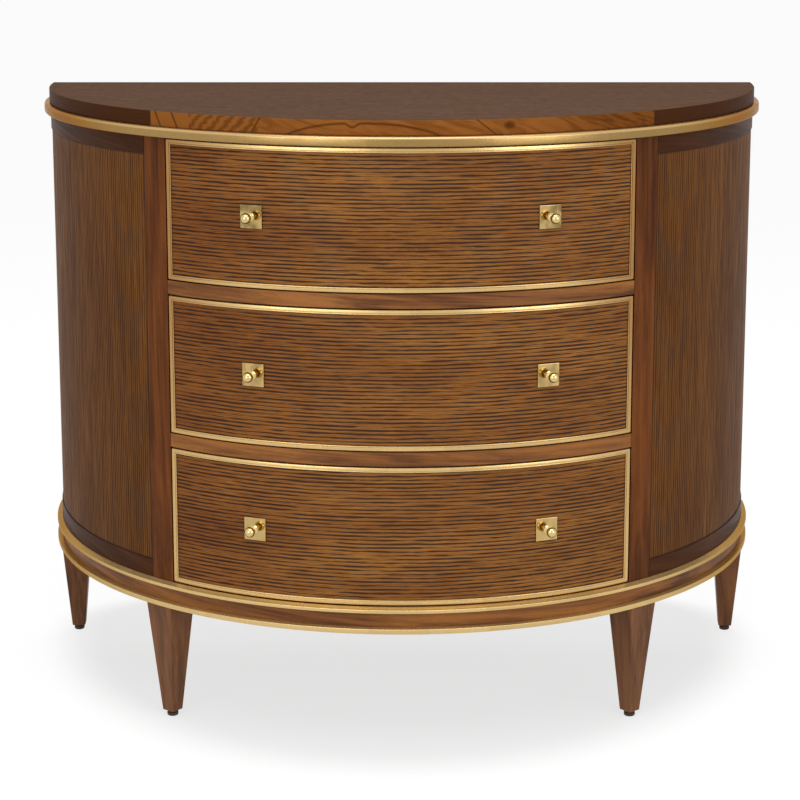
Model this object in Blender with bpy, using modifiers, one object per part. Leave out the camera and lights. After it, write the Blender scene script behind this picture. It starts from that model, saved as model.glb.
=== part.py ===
"""Demilune chest of three bowed drawers: a half-round case on four tapered legs.

Units are metres and +Z is up. The front faces -Y. The plan is a half circle about an upright axis that
lies in the back face. Angles in plan are degrees from straight ahead, positive towards +X.
"""

import math

import bmesh
import bpy
from mathutils import Matrix

# Overall sizes
OVERALL_HEIGHT = 0.874
TOP_RADIUS = 0.538
LEG_HEIGHT = 0.1715  # from the floor to the underside of the base
BASE_HEIGHT = 0.037
DRAWER_COUNT = 3
DRAWER_FRONT_WIDTH = 0.639  # straight across, between the drawer's two ends

# Clearances
SEAT_GAP = 0.0003  # between pieces that touch on the real chest
SIDE_REVEAL = 0.0015  # between a drawer front's end and the stile
EDGE_REVEAL = 0.002  # above and below a drawer front
CUT_OVERRUN = 0.01  # how far a cutter passes the piece it cuts

# Top
TOP_THICKNESS = 0.0207
TOP_ARRIS = 0.0015
TOP_OVERHANG = 0.0015  # of the top board past the case
MOULDING_HEIGHT = 0.0142
MOULDING_PROJECTION = 0.0077  # past the edge of the top board
MOULDING_ROUND = 0.004
MOULDING_CHAMFER = 0.003
MOULDING_DEPTH = 0.017

# Case
STILE_WIDTH = 0.031  # along X
STILE_DEPTH = 0.060  # along Y, from the stile's outer front edge
BACK_STILE_DEPTH = 0.035  # along Y
BACK_STILE_WIDTH = 0.036  # along X
RAIL_DEPTH = 0.020
TOP_RAIL_HEIGHT = 0.0245
BOTTOM_RAIL_HEIGHT = 0.0250
PANEL_RECESS = 0.0015
PANEL_THICKNESS = 0.012
PARTITION_THICKNESS = 0.018
SHELF_THICKNESS = 0.0195
BACK_THICKNESS = 0.008

# Base
BASE_WALL = 0.0125
BOTTOM_THICKNESS = 0.018
BEAD_PROJECTION = 0.0080
UPPER_BEAD_FACE = 0.0049
UPPER_BEAD_SLOPE = 0.0028
LOWER_BEAD_FACE = 0.0072
LOWER_BEAD_SLOPE = 0.0008

# Legs
LEG_TOP_SIDE = 0.0480
LEG_FOOT_SIDE = 0.0203
LEG_ARRIS = 0.0010
LEG_SETBACK = 0.0025  # of the outer face behind the beads
LEG_ANGLE = 39.4
BACK_LEG_SETBACK = 0.0285  # from the back face to the back legs' centre line
TENON_SIDE = 0.028
TENON_SINK = 0.012  # how far the tenon's solid starts inside the leg
GLIDE_DIAMETER = 0.016
GLIDE_HEIGHT = 0.008
GLIDE_ARRIS = 0.001

# Drawers
FIELD_RECESS = 0.0020  # of the drawer's veneered field behind its gilt frame
FRONT_THICKNESS = 0.019
FRAME_WIDTH = 0.0065
FRAME_DEPTH = 0.0080
FRAME_LIP = 0.0016  # width of the lower step along the frame's inner edge
FRAME_STEP = 0.0007  # depth of that step
BOX_CLEARANCE = 0.0025  # between a drawer's side and the partition
BOX_HEADROOM = 0.0371  # from a drawer box's upper edge to the shelf or top above it
BOX_WALL = 0.012
BOX_BACK_GAP = 0.020  # between the drawer and the back panel
BOX_BOTTOM_THICKNESS = 0.006
BOX_BOTTOM_RISE = 0.009  # from the sides' lower edge to the bottom
GROOVE_DEPTH = 0.005

# Knobs
KNOB_ANGLE = 21.9
PLATE_SIDE = 0.032
PLATE_THICKNESS = 0.002
PLATE_ARRIS = 0.0005
BALL_DIAMETER = 0.0146
BALL_DISTANCE = 0.0150  # from the plate to the ball's centre
KNOB_FOOT_DIAMETER = 0.0110
KNOB_FOOT_RIM = 0.0012
KNOB_NECK_DIAMETER = 0.0044
KNOB_NECK_START = 0.0045
COLLAR_DIAMETER = 0.0068
COLLAR_HEIGHT = 0.0016
STUD_DIAMETER = 0.0040
STUD_LENGTH = 0.014
BORE_CLEARANCE = 0.0003  # all round the stud

# Facets
ARC_STEP = 3.0  # degrees between the points of every arc in plan
ROUND_STEPS = 16
PROFILE_STEPS = 3
BALL_STEPS = 7

# Levels, worked out from the sizes above
BASE_TOP = LEG_HEIGHT + BASE_HEIGHT
TOP_BOTTOM = OVERALL_HEIGHT - TOP_THICKNESS
MOULDING_BOTTOM = TOP_BOTTOM - SEAT_GAP - MOULDING_HEIGHT
CASE_BOTTOM = BASE_TOP + SEAT_GAP
CASE_TOP = MOULDING_BOTTOM - SEAT_GAP
SHELF_COUNT = DRAWER_COUNT - 1
DRAWER_ZONE = MOULDING_BOTTOM - BASE_TOP - SHELF_COUNT * SHELF_THICKNESS
DRAWER_PITCH = DRAWER_ZONE / DRAWER_COUNT + SHELF_THICKNESS
DRAWER_HEIGHT = DRAWER_ZONE / DRAWER_COUNT - 2 * EDGE_REVEAL
BOX_HEIGHT = DRAWER_ZONE / DRAWER_COUNT - BOX_HEADROOM

# Radii and plan positions, worked out from the sizes above
CASE_RADIUS = TOP_RADIUS - TOP_OVERHANG
MOULDING_RADIUS = TOP_RADIUS + MOULDING_PROJECTION
SUB_TOP_RADIUS = MOULDING_RADIUS - MOULDING_DEPTH - SEAT_GAP
PANEL_RADIUS = CASE_RADIUS - PANEL_RECESS
BASE_INNER_RADIUS = CASE_RADIUS - BASE_WALL
FIELD_RADIUS = CASE_RADIUS - FIELD_RECESS
FRONT_INNER_RADIUS = FIELD_RADIUS - FRONT_THICKNESS
FRAME_INNER_RADIUS = CASE_RADIUS - FRAME_DEPTH
STILE_INNER_X = DRAWER_FRONT_WIDTH / 2 + SIDE_REVEAL
STILE_OUTER_X = STILE_INNER_X + STILE_WIDTH
STILE_BACK_Y = STILE_DEPTH - math.sqrt(CASE_RADIUS ** 2 - STILE_OUTER_X ** 2)
BACK_STILE_X = CASE_RADIUS - BACK_STILE_WIDTH
BACK_Y = -BACK_THICKNESS - SEAT_GAP
BOX_OUTER_X = STILE_INNER_X - BOX_CLEARANCE
BOX_INNER_X = BOX_OUTER_X - BOX_WALL
BOX_BACK_Y = BACK_Y - BOX_BACK_GAP
LEG_RADIUS = CASE_RADIUS + BEAD_PROJECTION - LEG_SETBACK - LEG_TOP_SIDE / 2
AXIS_Y = MOULDING_RADIUS / 2  # puts the origin under the middle of the chest

SIDES = {"left": -1, "right": 1}

# Finishes: colour, roughness and metallic value
FINISHES = {
    "dark_top_wood": ((0.085, 0.045, 0.026), 0.42, 0.0),
    "reddish_walnut": ((0.150, 0.058, 0.026), 0.42, 0.0),
    "striped_veneer": ((0.130, 0.062, 0.028), 0.50, 0.0),
    "brushed_veneer": ((0.200, 0.085, 0.034), 0.52, 0.0),
    "gold_leaf": ((0.640, 0.410, 0.160), 0.34, 0.9),
    "polished_brass": ((0.800, 0.620, 0.260), 0.12, 1.0),
    "drawer_lining_wood": ((0.420, 0.270, 0.140), 0.60, 0.0),
    "carcass_wood": ((0.260, 0.150, 0.080), 0.65, 0.0),
    "dark_glide": ((0.030, 0.024, 0.020), 0.50, 0.0),
}


def clear_scene():
    """Removes whatever the open file holds, so the chest stands alone."""
    for old in list(bpy.data.objects):
        bpy.data.objects.remove(old, do_unlink=True)


def make_collection(name):
    collection = bpy.data.collections.new(name)
    bpy.context.scene.collection.children.link(collection)
    return collection


def make_materials():
    """One Principled material for each finish."""
    made = {}
    for name, (colour, roughness, metallic) in FINISHES.items():
        finish = bpy.data.materials.new(name)
        finish.use_nodes = True
        shader = finish.node_tree.nodes["Principled BSDF"]
        shader.inputs["Base Color"].default_value = (*colour, 1.0)
        shader.inputs["Roughness"].default_value = roughness
        shader.inputs["Metallic"].default_value = metallic
        finish.diffuse_color = (*colour, 1.0)
        made[name] = finish
    return made


class Shop:
    """Holds the two collections and the finishes, and makes the pieces."""

    def __init__(self):
        self.pieces = make_collection("demilune_chest")
        self.cutters = make_collection("cutters")
        self.finishes = make_materials()

    def empty(self, name, location):
        mark = bpy.data.objects.new(name, None)
        mark.location = location
        self.pieces.objects.link(mark)
        return mark

    def add(self, name, mesh, finish, parent, location=(0, 0, 0), turn=(0, 0, 0)):
        """Places a finished mesh as a piece of the chest."""
        piece = bpy.data.objects.new(name, mesh)
        piece.location = location
        piece.rotation_euler = turn
        piece.parent = parent
        mesh.materials.clear()
        mesh.materials.append(self.finishes[finish])
        self.pieces.objects.link(piece)
        return piece

    def cutter(self, name, mesh, parent, location=(0, 0, 0), turn=(0, 0, 0)):
        """Places a mesh that only shapes other pieces."""
        tool = bpy.data.objects.new(name, mesh)
        tool.location = location
        tool.rotation_euler = turn
        tool.parent = parent
        tool.hide_render = True
        tool.display_type = "WIRE"
        self.cutters.objects.link(tool)
        return tool


def cut(piece, tool, operation="DIFFERENCE"):
    modifier = piece.modifiers.new(tool.name, "BOOLEAN")
    modifier.operation = operation
    modifier.object = tool


def ease_edges(piece, width, segments=1):
    modifier = piece.modifiers.new("eased_edges", "BEVEL")
    modifier.width = width
    modifier.segments = segments
    modifier.limit_method = "ANGLE"
    modifier.angle_limit = math.radians(40)


def on_circle(radius, angle):
    """The plan point at an angle from straight ahead."""
    turn = math.radians(angle)
    return radius * math.sin(turn), -radius * math.cos(turn)


def arc(radius, start, end):
    """Plan points from start to end, on the angles that every arc shares, so that facets stay parallel."""
    low, high = min(start, end), max(start, end)
    first = math.floor(low / ARC_STEP) + 1
    last = math.ceil(high / ARC_STEP) - 1
    between = [index * ARC_STEP for index in range(first, last + 1)]
    angles = [low] + between + [high]
    if start > end:
        angles.reverse()
    return [on_circle(radius, angle) for angle in angles]


def angle_at_x(radius, x):
    return math.degrees(math.asin(x / radius))


def angle_at_y(radius, y):
    return math.degrees(math.acos(-y / radius))


def weld(mesh):
    """Joins a mesh's loose edges and points its faces outwards."""
    work = bmesh.new()
    work.from_mesh(mesh)
    bmesh.ops.remove_doubles(work, verts=work.verts, dist=SEAT_GAP / 10)
    rims = [edge for edge in work.edges if edge.is_boundary]
    if rims:
        bmesh.ops.holes_fill(work, edges=rims)
    bmesh.ops.recalc_face_normals(work, faces=work.faces)
    work.to_mesh(mesh)
    work.free()
    return mesh


def evaluated_mesh(source):
    """The plain mesh of a curve or of a mesh with modifiers, which is then removed."""
    bpy.context.scene.collection.objects.link(source)
    depsgraph = bpy.context.evaluated_depsgraph_get()
    mesh = bpy.data.meshes.new_from_object(source.evaluated_get(depsgraph))
    bpy.data.objects.remove(source, do_unlink=True)
    return weld(mesh)


def slab_mesh(name, outline, height):
    """A flat piece: a closed plan outline, extruded half its height up and half down."""
    curve = bpy.data.curves.new(name, "CURVE")
    curve.dimensions = "2D"
    curve.fill_mode = "BOTH"
    curve.extrude = height / 2
    spline = curve.splines.new("POLY")
    spline.points.add(len(outline) - 1)
    for point, (x, y) in zip(spline.points, outline):
        point.co = (x, y, 0, 1)
    spline.use_cyclic_u = True
    return evaluated_mesh(bpy.data.objects.new(name, curve))


def swept_mesh(name, profile, angle, steps, closed):
    """Turns a profile of (radius, height) points about the Z axis."""
    mesh = bpy.data.meshes.new(name)
    points = [(radius, 0, height) for radius, height in profile]
    edges = [(index, index + 1) for index in range(len(points) - 1)]
    if closed:
        edges.append((len(points) - 1, 0))
    mesh.from_pydata(points, edges, [])
    source = bpy.data.objects.new(name, mesh)
    screw = source.modifiers.new("turn", "SCREW")
    screw.angle = angle
    screw.steps = steps
    screw.render_steps = steps
    screw.use_merge_vertices = not closed
    screw.merge_threshold = SEAT_GAP / 10
    return evaluated_mesh(source)


def half_ring_mesh(name, profile):
    """A moulding bent round the front of the chest, with flat ends in the back face."""
    return swept_mesh(name, profile, -math.pi, round(180 / ARC_STEP), True)


def turned_mesh(name, profile):
    mesh = swept_mesh(name, profile, 2 * math.pi, ROUND_STEPS, False)
    mesh.shade_smooth()
    mesh.set_sharp_from_angle(angle=math.radians(35))
    return mesh


def box_mesh(name, size_x, size_y, size_z):
    mesh = bpy.data.meshes.new(name)
    work = bmesh.new()
    bmesh.ops.create_cube(work, size=1)
    bmesh.ops.scale(work, verts=work.verts, vec=(size_x, size_y, size_z))
    work.to_mesh(mesh)
    work.free()
    return mesh


def half_disc(radius):
    return arc(radius, -90, 90)


def bowed_strip(half_width, outer, inner):
    """The plan of a bowed front piece with ends parallel to its travel."""
    front = arc(outer, -angle_at_x(outer, half_width), angle_at_x(outer, half_width))
    back = arc(inner, angle_at_x(inner, half_width), -angle_at_x(inner, half_width))
    return front + back


def bowed_board(half_width, radius, back_y):
    """The plan of a board with a bowed front, straight ends and a straight back."""
    front = arc(radius, -angle_at_x(radius, half_width), angle_at_x(radius, half_width))
    return front + [(half_width, back_y), (-half_width, back_y)]


def side_strip(outer, inner):
    """The plan of a curved side piece of the right side, from the front stile to the back stile."""
    start_x = STILE_OUTER_X + SEAT_GAP
    end_y = -BACK_STILE_DEPTH - SEAT_GAP
    front = arc(outer, angle_at_x(outer, start_x), angle_at_y(outer, end_y))
    back = arc(inner, angle_at_y(inner, end_y), angle_at_x(inner, start_x))
    return front + back


def mirrored(outline, side):
    """The same plan on the chosen side, still running the same way round."""
    if side > 0:
        return outline
    return [(-x, y) for x, y in reversed(outline)]


def make_top(shop, root):
    height = TOP_THICKNESS
    board = shop.add("top_board", slab_mesh("top_board", half_disc(TOP_RADIUS), height), "dark_top_wood",
                     root, (0, 0, TOP_BOTTOM + height / 2))
    ease_edges(board, TOP_ARRIS, 2)
    height = MOULDING_HEIGHT
    shop.add("sub_top", slab_mesh("sub_top", half_disc(SUB_TOP_RADIUS), height), "carcass_wood",
             root, (0, 0, MOULDING_BOTTOM + height / 2))
    inner = MOULDING_RADIUS - MOULDING_DEPTH
    shoulder = MOULDING_RADIUS - MOULDING_ROUND
    rounding = []
    for step in range(PROFILE_STEPS + 1):
        turn = math.radians(90 * step / PROFILE_STEPS)
        rounding.append((shoulder + MOULDING_ROUND * math.sin(turn),
                         height - MOULDING_ROUND + MOULDING_ROUND * math.cos(turn)))
    profile = [(inner, height)] + rounding + [
        (MOULDING_RADIUS, MOULDING_CHAMFER),
        (MOULDING_RADIUS - MOULDING_CHAMFER, 0),
        (inner, 0),
    ]
    shop.add("top_moulding", half_ring_mesh("top_moulding", profile), "gold_leaf", root,
             (0, 0, MOULDING_BOTTOM))


def make_sides(shop, root):
    """Each side: two stiles, two rails and the veneered panel between them."""
    post_height = CASE_TOP - CASE_BOTTOM
    post_middle = (CASE_TOP + CASE_BOTTOM) / 2
    panel_bottom = CASE_BOTTOM + BOTTOM_RAIL_HEIGHT + SEAT_GAP
    panel_top = CASE_TOP - TOP_RAIL_HEIGHT - SEAT_GAP
    stile = arc(CASE_RADIUS, angle_at_x(CASE_RADIUS, STILE_INNER_X), angle_at_x(CASE_RADIUS, STILE_OUTER_X))
    stile += [(STILE_OUTER_X, STILE_BACK_Y), (STILE_INNER_X, STILE_BACK_Y)]
    back_stile = arc(CASE_RADIUS, angle_at_y(CASE_RADIUS, -BACK_STILE_DEPTH), 90)
    back_stile += [(BACK_STILE_X, 0), (BACK_STILE_X, -BACK_STILE_DEPTH)]
    rail = side_strip(CASE_RADIUS, CASE_RADIUS - RAIL_DEPTH)
    panel = side_strip(PANEL_RADIUS, PANEL_RADIUS - PANEL_THICKNESS)
    pieces = (
        ("front_stile", stile, post_height, post_middle, "reddish_walnut"),
        ("back_stile", back_stile, post_height, post_middle, "reddish_walnut"),
        ("side_top_rail", rail, TOP_RAIL_HEIGHT, CASE_TOP - TOP_RAIL_HEIGHT / 2, "reddish_walnut"),
        ("side_bottom_rail", rail, BOTTOM_RAIL_HEIGHT, CASE_BOTTOM + BOTTOM_RAIL_HEIGHT / 2, "reddish_walnut"),
        ("side_panel", panel, panel_top - panel_bottom, (panel_top + panel_bottom) / 2, "striped_veneer"),
    )
    for word, side in SIDES.items():
        for kind, outline, height, middle, finish in pieces:
            name = f"{kind}_{word}"
            shop.add(name, slab_mesh(name, mirrored(outline, side), height), finish, root, (0, 0, middle))


def make_inside(shop, root):
    """The back, the two partitions and the shelves between the drawers."""
    height = CASE_TOP - CASE_BOTTOM
    middle = (CASE_TOP + CASE_BOTTOM) / 2
    back_width = 2 * (BACK_STILE_X - SEAT_GAP)
    shop.add("back_panel", box_mesh("back_panel", back_width, BACK_THICKNESS, height), "carcass_wood",
             root, (0, -BACK_THICKNESS / 2, middle))
    front_y = STILE_BACK_Y + SEAT_GAP
    depth = BACK_Y - front_y
    for word, side in SIDES.items():
        name = f"partition_{word}"
        shop.add(name, box_mesh(name, PARTITION_THICKNESS, depth, height), "carcass_wood", root,
                 (side * (STILE_INNER_X + PARTITION_THICKNESS / 2), (BACK_Y + front_y) / 2, middle))
    outline = bowed_board(STILE_INNER_X - SEAT_GAP, CASE_RADIUS, BACK_Y)
    for index, word in enumerate(("lower", "upper")):
        name = f"divider_shelf_{word}"
        level = BASE_TOP + (index + 1) * DRAWER_PITCH - SHELF_THICKNESS / 2
        shop.add(name, slab_mesh(name, outline, SHELF_THICKNESS), "reddish_walnut", root, (0, 0, level))


def bead_profile(face, slope):
    """Section of a gilt bead on the base: an upright face under a sloping top."""
    inner = CASE_RADIUS + SEAT_GAP
    outer = CASE_RADIUS + BEAD_PROJECTION
    return [(inner, face + slope), (outer, face), (outer, 0), (inner, 0)]


def make_base(shop, root):
    """A hollow base frame with two gilt beads round it and the bottom board inside it."""
    frame = shop.add("base_frame", slab_mesh("base_frame", half_disc(CASE_RADIUS), BASE_HEIGHT),
                     "reddish_walnut", root, (0, 0, LEG_HEIGHT + BASE_HEIGHT / 2))
    inside_end = angle_at_y(BASE_INNER_RADIUS, -BASE_WALL)
    well = shop.cutter("base_well", slab_mesh("base_well", arc(BASE_INNER_RADIUS, -inside_end, inside_end),
                                             BASE_HEIGHT + 2 * CUT_OVERRUN),
                       root, (0, 0, LEG_HEIGHT + BASE_HEIGHT / 2))
    cut(frame, well)
    board_radius = BASE_INNER_RADIUS - SEAT_GAP
    board_end = angle_at_y(board_radius, -BASE_WALL - SEAT_GAP)
    shop.add("bottom_board", slab_mesh("bottom_board", arc(board_radius, -board_end, board_end),
                                       BOTTOM_THICKNESS),
             "carcass_wood", root, (0, 0, BASE_TOP - BOTTOM_THICKNESS / 2))
    upper = bead_profile(UPPER_BEAD_FACE, UPPER_BEAD_SLOPE)
    lower = bead_profile(LOWER_BEAD_FACE, LOWER_BEAD_SLOPE)
    upper_level = BASE_TOP - UPPER_BEAD_FACE - UPPER_BEAD_SLOPE
    shop.add("base_bead_upper", half_ring_mesh("base_bead_upper", upper), "gold_leaf", root,
             (0, 0, upper_level))
    shop.add("base_bead_lower", half_ring_mesh("base_bead_lower", lower), "gold_leaf", root,
             (0, 0, LEG_HEIGHT))


def leg_mesh(name, height):
    """A square tapered leg, one face towards -Y."""
    mesh = bpy.data.meshes.new(name)
    work = bmesh.new()
    corner = math.sqrt(2) / 2
    bmesh.ops.create_cone(work, cap_ends=True, segments=4, radius1=LEG_FOOT_SIDE * corner,
                          radius2=LEG_TOP_SIDE * corner, depth=height)
    bmesh.ops.rotate(work, verts=work.verts, matrix=Matrix.Rotation(math.radians(45), 3, "Z"))
    work.to_mesh(mesh)
    work.free()
    return mesh


def tenon_radius():
    """Where a tenon's middle lies, so that its outer corners clear the base's faceted wall."""
    clear = BASE_INNER_RADIUS * math.cos(math.radians(ARC_STEP / 2)) - 2 * SEAT_GAP
    return math.sqrt(clear ** 2 - (TENON_SIDE / 2) ** 2) - TENON_SIDE / 2


def make_legs(shop, root):
    """Four legs, square to the curve of the base, each with a tenon behind the base's wall."""
    top = LEG_HEIGHT - SEAT_GAP
    bottom = GLIDE_HEIGHT + SEAT_GAP
    tenon_top = BASE_TOP - BOTTOM_THICKNESS - SEAT_GAP
    tenon_bottom = top - TENON_SINK
    back_angle = angle_at_y(LEG_RADIUS, -BACK_LEG_SETBACK)
    glide_profile = [(0, GLIDE_HEIGHT), (GLIDE_DIAMETER / 2, GLIDE_HEIGHT), (GLIDE_DIAMETER / 2, GLIDE_ARRIS),
                     (GLIDE_DIAMETER / 2 - GLIDE_ARRIS, 0), (0, 0)]
    for end, angle in (("front", LEG_ANGLE), ("back", back_angle)):
        for word, side in SIDES.items():
            turn = (0, 0, math.radians(side * angle))
            x, y = on_circle(LEG_RADIUS, side * angle)
            name = f"leg_{end}_{word}"
            leg = shop.add(name, leg_mesh(name, top - bottom), "reddish_walnut", root,
                           (x, y, (top + bottom) / 2), turn)
            ease_edges(leg, LEG_ARRIS)
            x_tenon, y_tenon = on_circle(tenon_radius(), side * angle)
            tenon = shop.cutter(f"tenon_{end}_{word}",
                                box_mesh("tenon", TENON_SIDE, TENON_SIDE, tenon_top - tenon_bottom), root,
                                (x_tenon, y_tenon, (tenon_top + tenon_bottom) / 2), turn)
            cut(leg, tenon, "UNION")
            glide = f"glide_{end}_{word}"
            shop.add(glide, turned_mesh(glide, glide_profile), "dark_glide", root, (x, y, 0))


def knob_profile():
    """Half section of a knob, from the ball's tip down to the end of its stud."""
    ball = BALL_DIAMETER / 2
    neck = KNOB_NECK_DIAMETER / 2
    foot = KNOB_FOOT_DIAMETER / 2
    collar = COLLAR_DIAMETER / 2
    last = math.pi - math.asin(neck / ball)
    points = []
    for step in range(BALL_STEPS + 1):
        turn = last * step / BALL_STEPS
        points.append((ball * math.sin(turn), BALL_DISTANCE + ball * math.cos(turn)))
    collar_top = (points[-1][1] + KNOB_NECK_START + COLLAR_HEIGHT) / 2
    collar_bottom = collar_top - COLLAR_HEIGHT
    points += [(neck, collar_top), (collar, (collar_top + collar_bottom) / 2), (neck, collar_bottom)]
    points += [(neck, KNOB_NECK_START), ((neck + foot) / 2, KNOB_NECK_START / 3), (foot, KNOB_FOOT_RIM)]
    points += [(foot, 0), (STUD_DIAMETER / 2, 0), (STUD_DIAMETER / 2, -STUD_LENGTH), (0, -STUD_LENGTH)]
    return [(0, points[0][1])] + points[1:]


def make_knobs(shop, carrier, prefix, front, middle):
    """Two ball knobs on square plates, square to the bow, screwed into the drawer front."""
    plate_radius = FIELD_RADIUS + SEAT_GAP
    knob_radius = plate_radius + PLATE_THICKNESS + SEAT_GAP
    bore = STUD_DIAMETER / 2 + BORE_CLEARANCE
    bore_start = knob_radius - STUD_LENGTH - BORE_CLEARANCE
    bore_length = STUD_LENGTH + CUT_OVERRUN
    bore_profile = [(0, bore_length), (bore, bore_length), (bore, 0), (0, 0)]
    for word, side in SIDES.items():
        angle = side * KNOB_ANGLE
        flat = (0, 0, math.radians(angle))
        out = (math.radians(90), 0, math.radians(angle))
        x, y = on_circle(bore_start, angle)
        drill = shop.cutter(f"{prefix}_bore_{word}", turned_mesh("bore", bore_profile), carrier,
                            (x, y, middle), out)
        cut(front, drill)
        name = f"{prefix}_backplate_{word}"
        x, y = on_circle(plate_radius + PLATE_THICKNESS / 2, angle)
        plate = shop.add(name, box_mesh(name, PLATE_SIDE, PLATE_THICKNESS, PLATE_SIDE), "polished_brass",
                         carrier, (x, y, middle), flat)
        ease_edges(plate, PLATE_ARRIS)
        cut(plate, drill)
        name = f"{prefix}_knob_{word}"
        x, y = on_circle(knob_radius, angle)
        shop.add(name, turned_mesh(name, knob_profile()), "polished_brass", carrier, (x, y, middle), out)


def make_drawer_front(shop, carrier, prefix, middle):
    """The bowed front: a full-size ground with a smaller raised field, rebated for the gilt frame."""
    half_width = DRAWER_FRONT_WIDTH / 2
    ground_radius = FRAME_INNER_RADIUS - SEAT_GAP
    name = f"{prefix}_front"
    outline = bowed_strip(half_width, ground_radius, FRONT_INNER_RADIUS)
    front = shop.add(name, slab_mesh(name, outline, DRAWER_HEIGHT), "brushed_veneer", carrier, (0, 0, middle))
    border = FRAME_WIDTH + SEAT_GAP
    field_outline = bowed_strip(half_width - border, FIELD_RADIUS, (ground_radius + FRONT_INNER_RADIUS) / 2)
    field = shop.cutter(f"{prefix}_field", slab_mesh("field", field_outline, DRAWER_HEIGHT - 2 * border),
                        carrier, (0, 0, middle))
    cut(front, field, "UNION")
    return front


def make_gilt_frame(shop, carrier, prefix, middle):
    """A gilt frame round the field, with a lower step along its inner edge."""
    half_width = DRAWER_FRONT_WIDTH / 2
    name = f"{prefix}_gilt_frame"
    outline = bowed_strip(half_width, CASE_RADIUS, FRAME_INNER_RADIUS)
    frame = shop.add(name, slab_mesh(name, outline, DRAWER_HEIGHT), "gold_leaf", carrier, (0, 0, middle))
    inner = bowed_strip(half_width - FRAME_WIDTH, CASE_RADIUS + CUT_OVERRUN, FRAME_INNER_RADIUS - CUT_OVERRUN)
    window = shop.cutter(f"{prefix}_window", slab_mesh("window", inner, DRAWER_HEIGHT - 2 * FRAME_WIDTH),
                         carrier, (0, 0, middle))
    cut(frame, window)
    edge = FRAME_WIDTH - FRAME_LIP
    lip = bowed_strip(half_width - edge, CASE_RADIUS + CUT_OVERRUN, CASE_RADIUS - FRAME_STEP)
    step = shop.cutter(f"{prefix}_step", slab_mesh("step", lip, DRAWER_HEIGHT - 2 * edge),
                       carrier, (0, 0, middle))
    cut(frame, step)


def make_drawer_box(shop, carrier, prefix, front):
    """Two sides, a back and a bottom that slides in grooves and passes under the back."""
    bottom_level = BOX_BOTTOM_RISE + BOX_BOTTOM_THICKNESS / 2
    bottom_half = BOX_INNER_X + GROOVE_DEPTH
    bottom_radius = FRONT_INNER_RADIUS + GROOVE_DEPTH
    name = f"{prefix}_bottom"
    shop.add(name, slab_mesh(name, bowed_board(bottom_half, bottom_radius, BOX_BACK_Y), BOX_BOTTOM_THICKNESS),
             "drawer_lining_wood", carrier, (0, 0, bottom_level))
    groove_outline = bowed_board(bottom_half + SEAT_GAP, bottom_radius + SEAT_GAP, BOX_BACK_Y + CUT_OVERRUN)
    groove = shop.cutter(f"{prefix}_groove",
                         slab_mesh("groove", groove_outline, BOX_BOTTOM_THICKNESS + 2 * SEAT_GAP),
                         carrier, (0, 0, bottom_level))
    cut(front, groove)
    reach = FRONT_INNER_RADIUS * math.cos(math.radians(ARC_STEP / 2)) - SEAT_GAP
    side_outline = arc(reach, angle_at_x(reach, BOX_INNER_X), angle_at_x(reach, BOX_OUTER_X))
    side_outline += [(BOX_OUTER_X, BOX_BACK_Y), (BOX_INNER_X, BOX_BACK_Y)]
    for word, side in SIDES.items():
        name = f"{prefix}_side_{word}"
        wall = shop.add(name, slab_mesh(name, mirrored(side_outline, side), BOX_HEIGHT), "drawer_lining_wood",
                        carrier, (0, 0, BOX_HEIGHT / 2))
        cut(wall, groove)
    back_bottom = BOX_BOTTOM_RISE + BOX_BOTTOM_THICKNESS + SEAT_GAP
    name = f"{prefix}_back"
    shop.add(name, box_mesh(name, 2 * (BOX_INNER_X - SEAT_GAP), BOX_WALL, BOX_HEIGHT - back_bottom),
             "drawer_lining_wood", carrier, (0, BOX_BACK_Y - BOX_WALL / 2, (BOX_HEIGHT + back_bottom) / 2))


def make_drawer(shop, number, level):
    """One drawer, on an empty that marks the height at which it slides."""
    prefix = f"drawer_{number}"
    carrier = shop.empty(f"{prefix}_slide", (0, AXIS_Y, level + SEAT_GAP))
    middle = EDGE_REVEAL - SEAT_GAP + DRAWER_HEIGHT / 2
    front = make_drawer_front(shop, carrier, prefix, middle)
    make_gilt_frame(shop, carrier, prefix, middle)
    make_drawer_box(shop, carrier, prefix, front)
    make_knobs(shop, carrier, prefix, front, middle)


def main():
    clear_scene()
    shop = Shop()
    root = shop.empty("case_axis", (0, AXIS_Y, 0))
    make_top(shop, root)
    make_sides(shop, root)
    make_inside(shop, root)
    make_base(shop, root)
    make_legs(shop, root)
    for index in range(DRAWER_COUNT):
        number = DRAWER_COUNT - index
        make_drawer(shop, number, BASE_TOP + index * DRAWER_PITCH)


main()
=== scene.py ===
"""Looks of the demilune chest: fine pieces, finishes, floor, light and camera round the fixed frame.

Units are metres and +Z is up. The front faces -Y. The plan is a half circle about an upright axis that lies
in the back face. Angles in plan are measured from straight ahead and are positive towards +X.
"""

import math

import bmesh
import bpy
from bpy.props import FloatProperty, FloatVectorProperty, IntProperty, PointerProperty
from mathutils import Matrix, Vector


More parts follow.
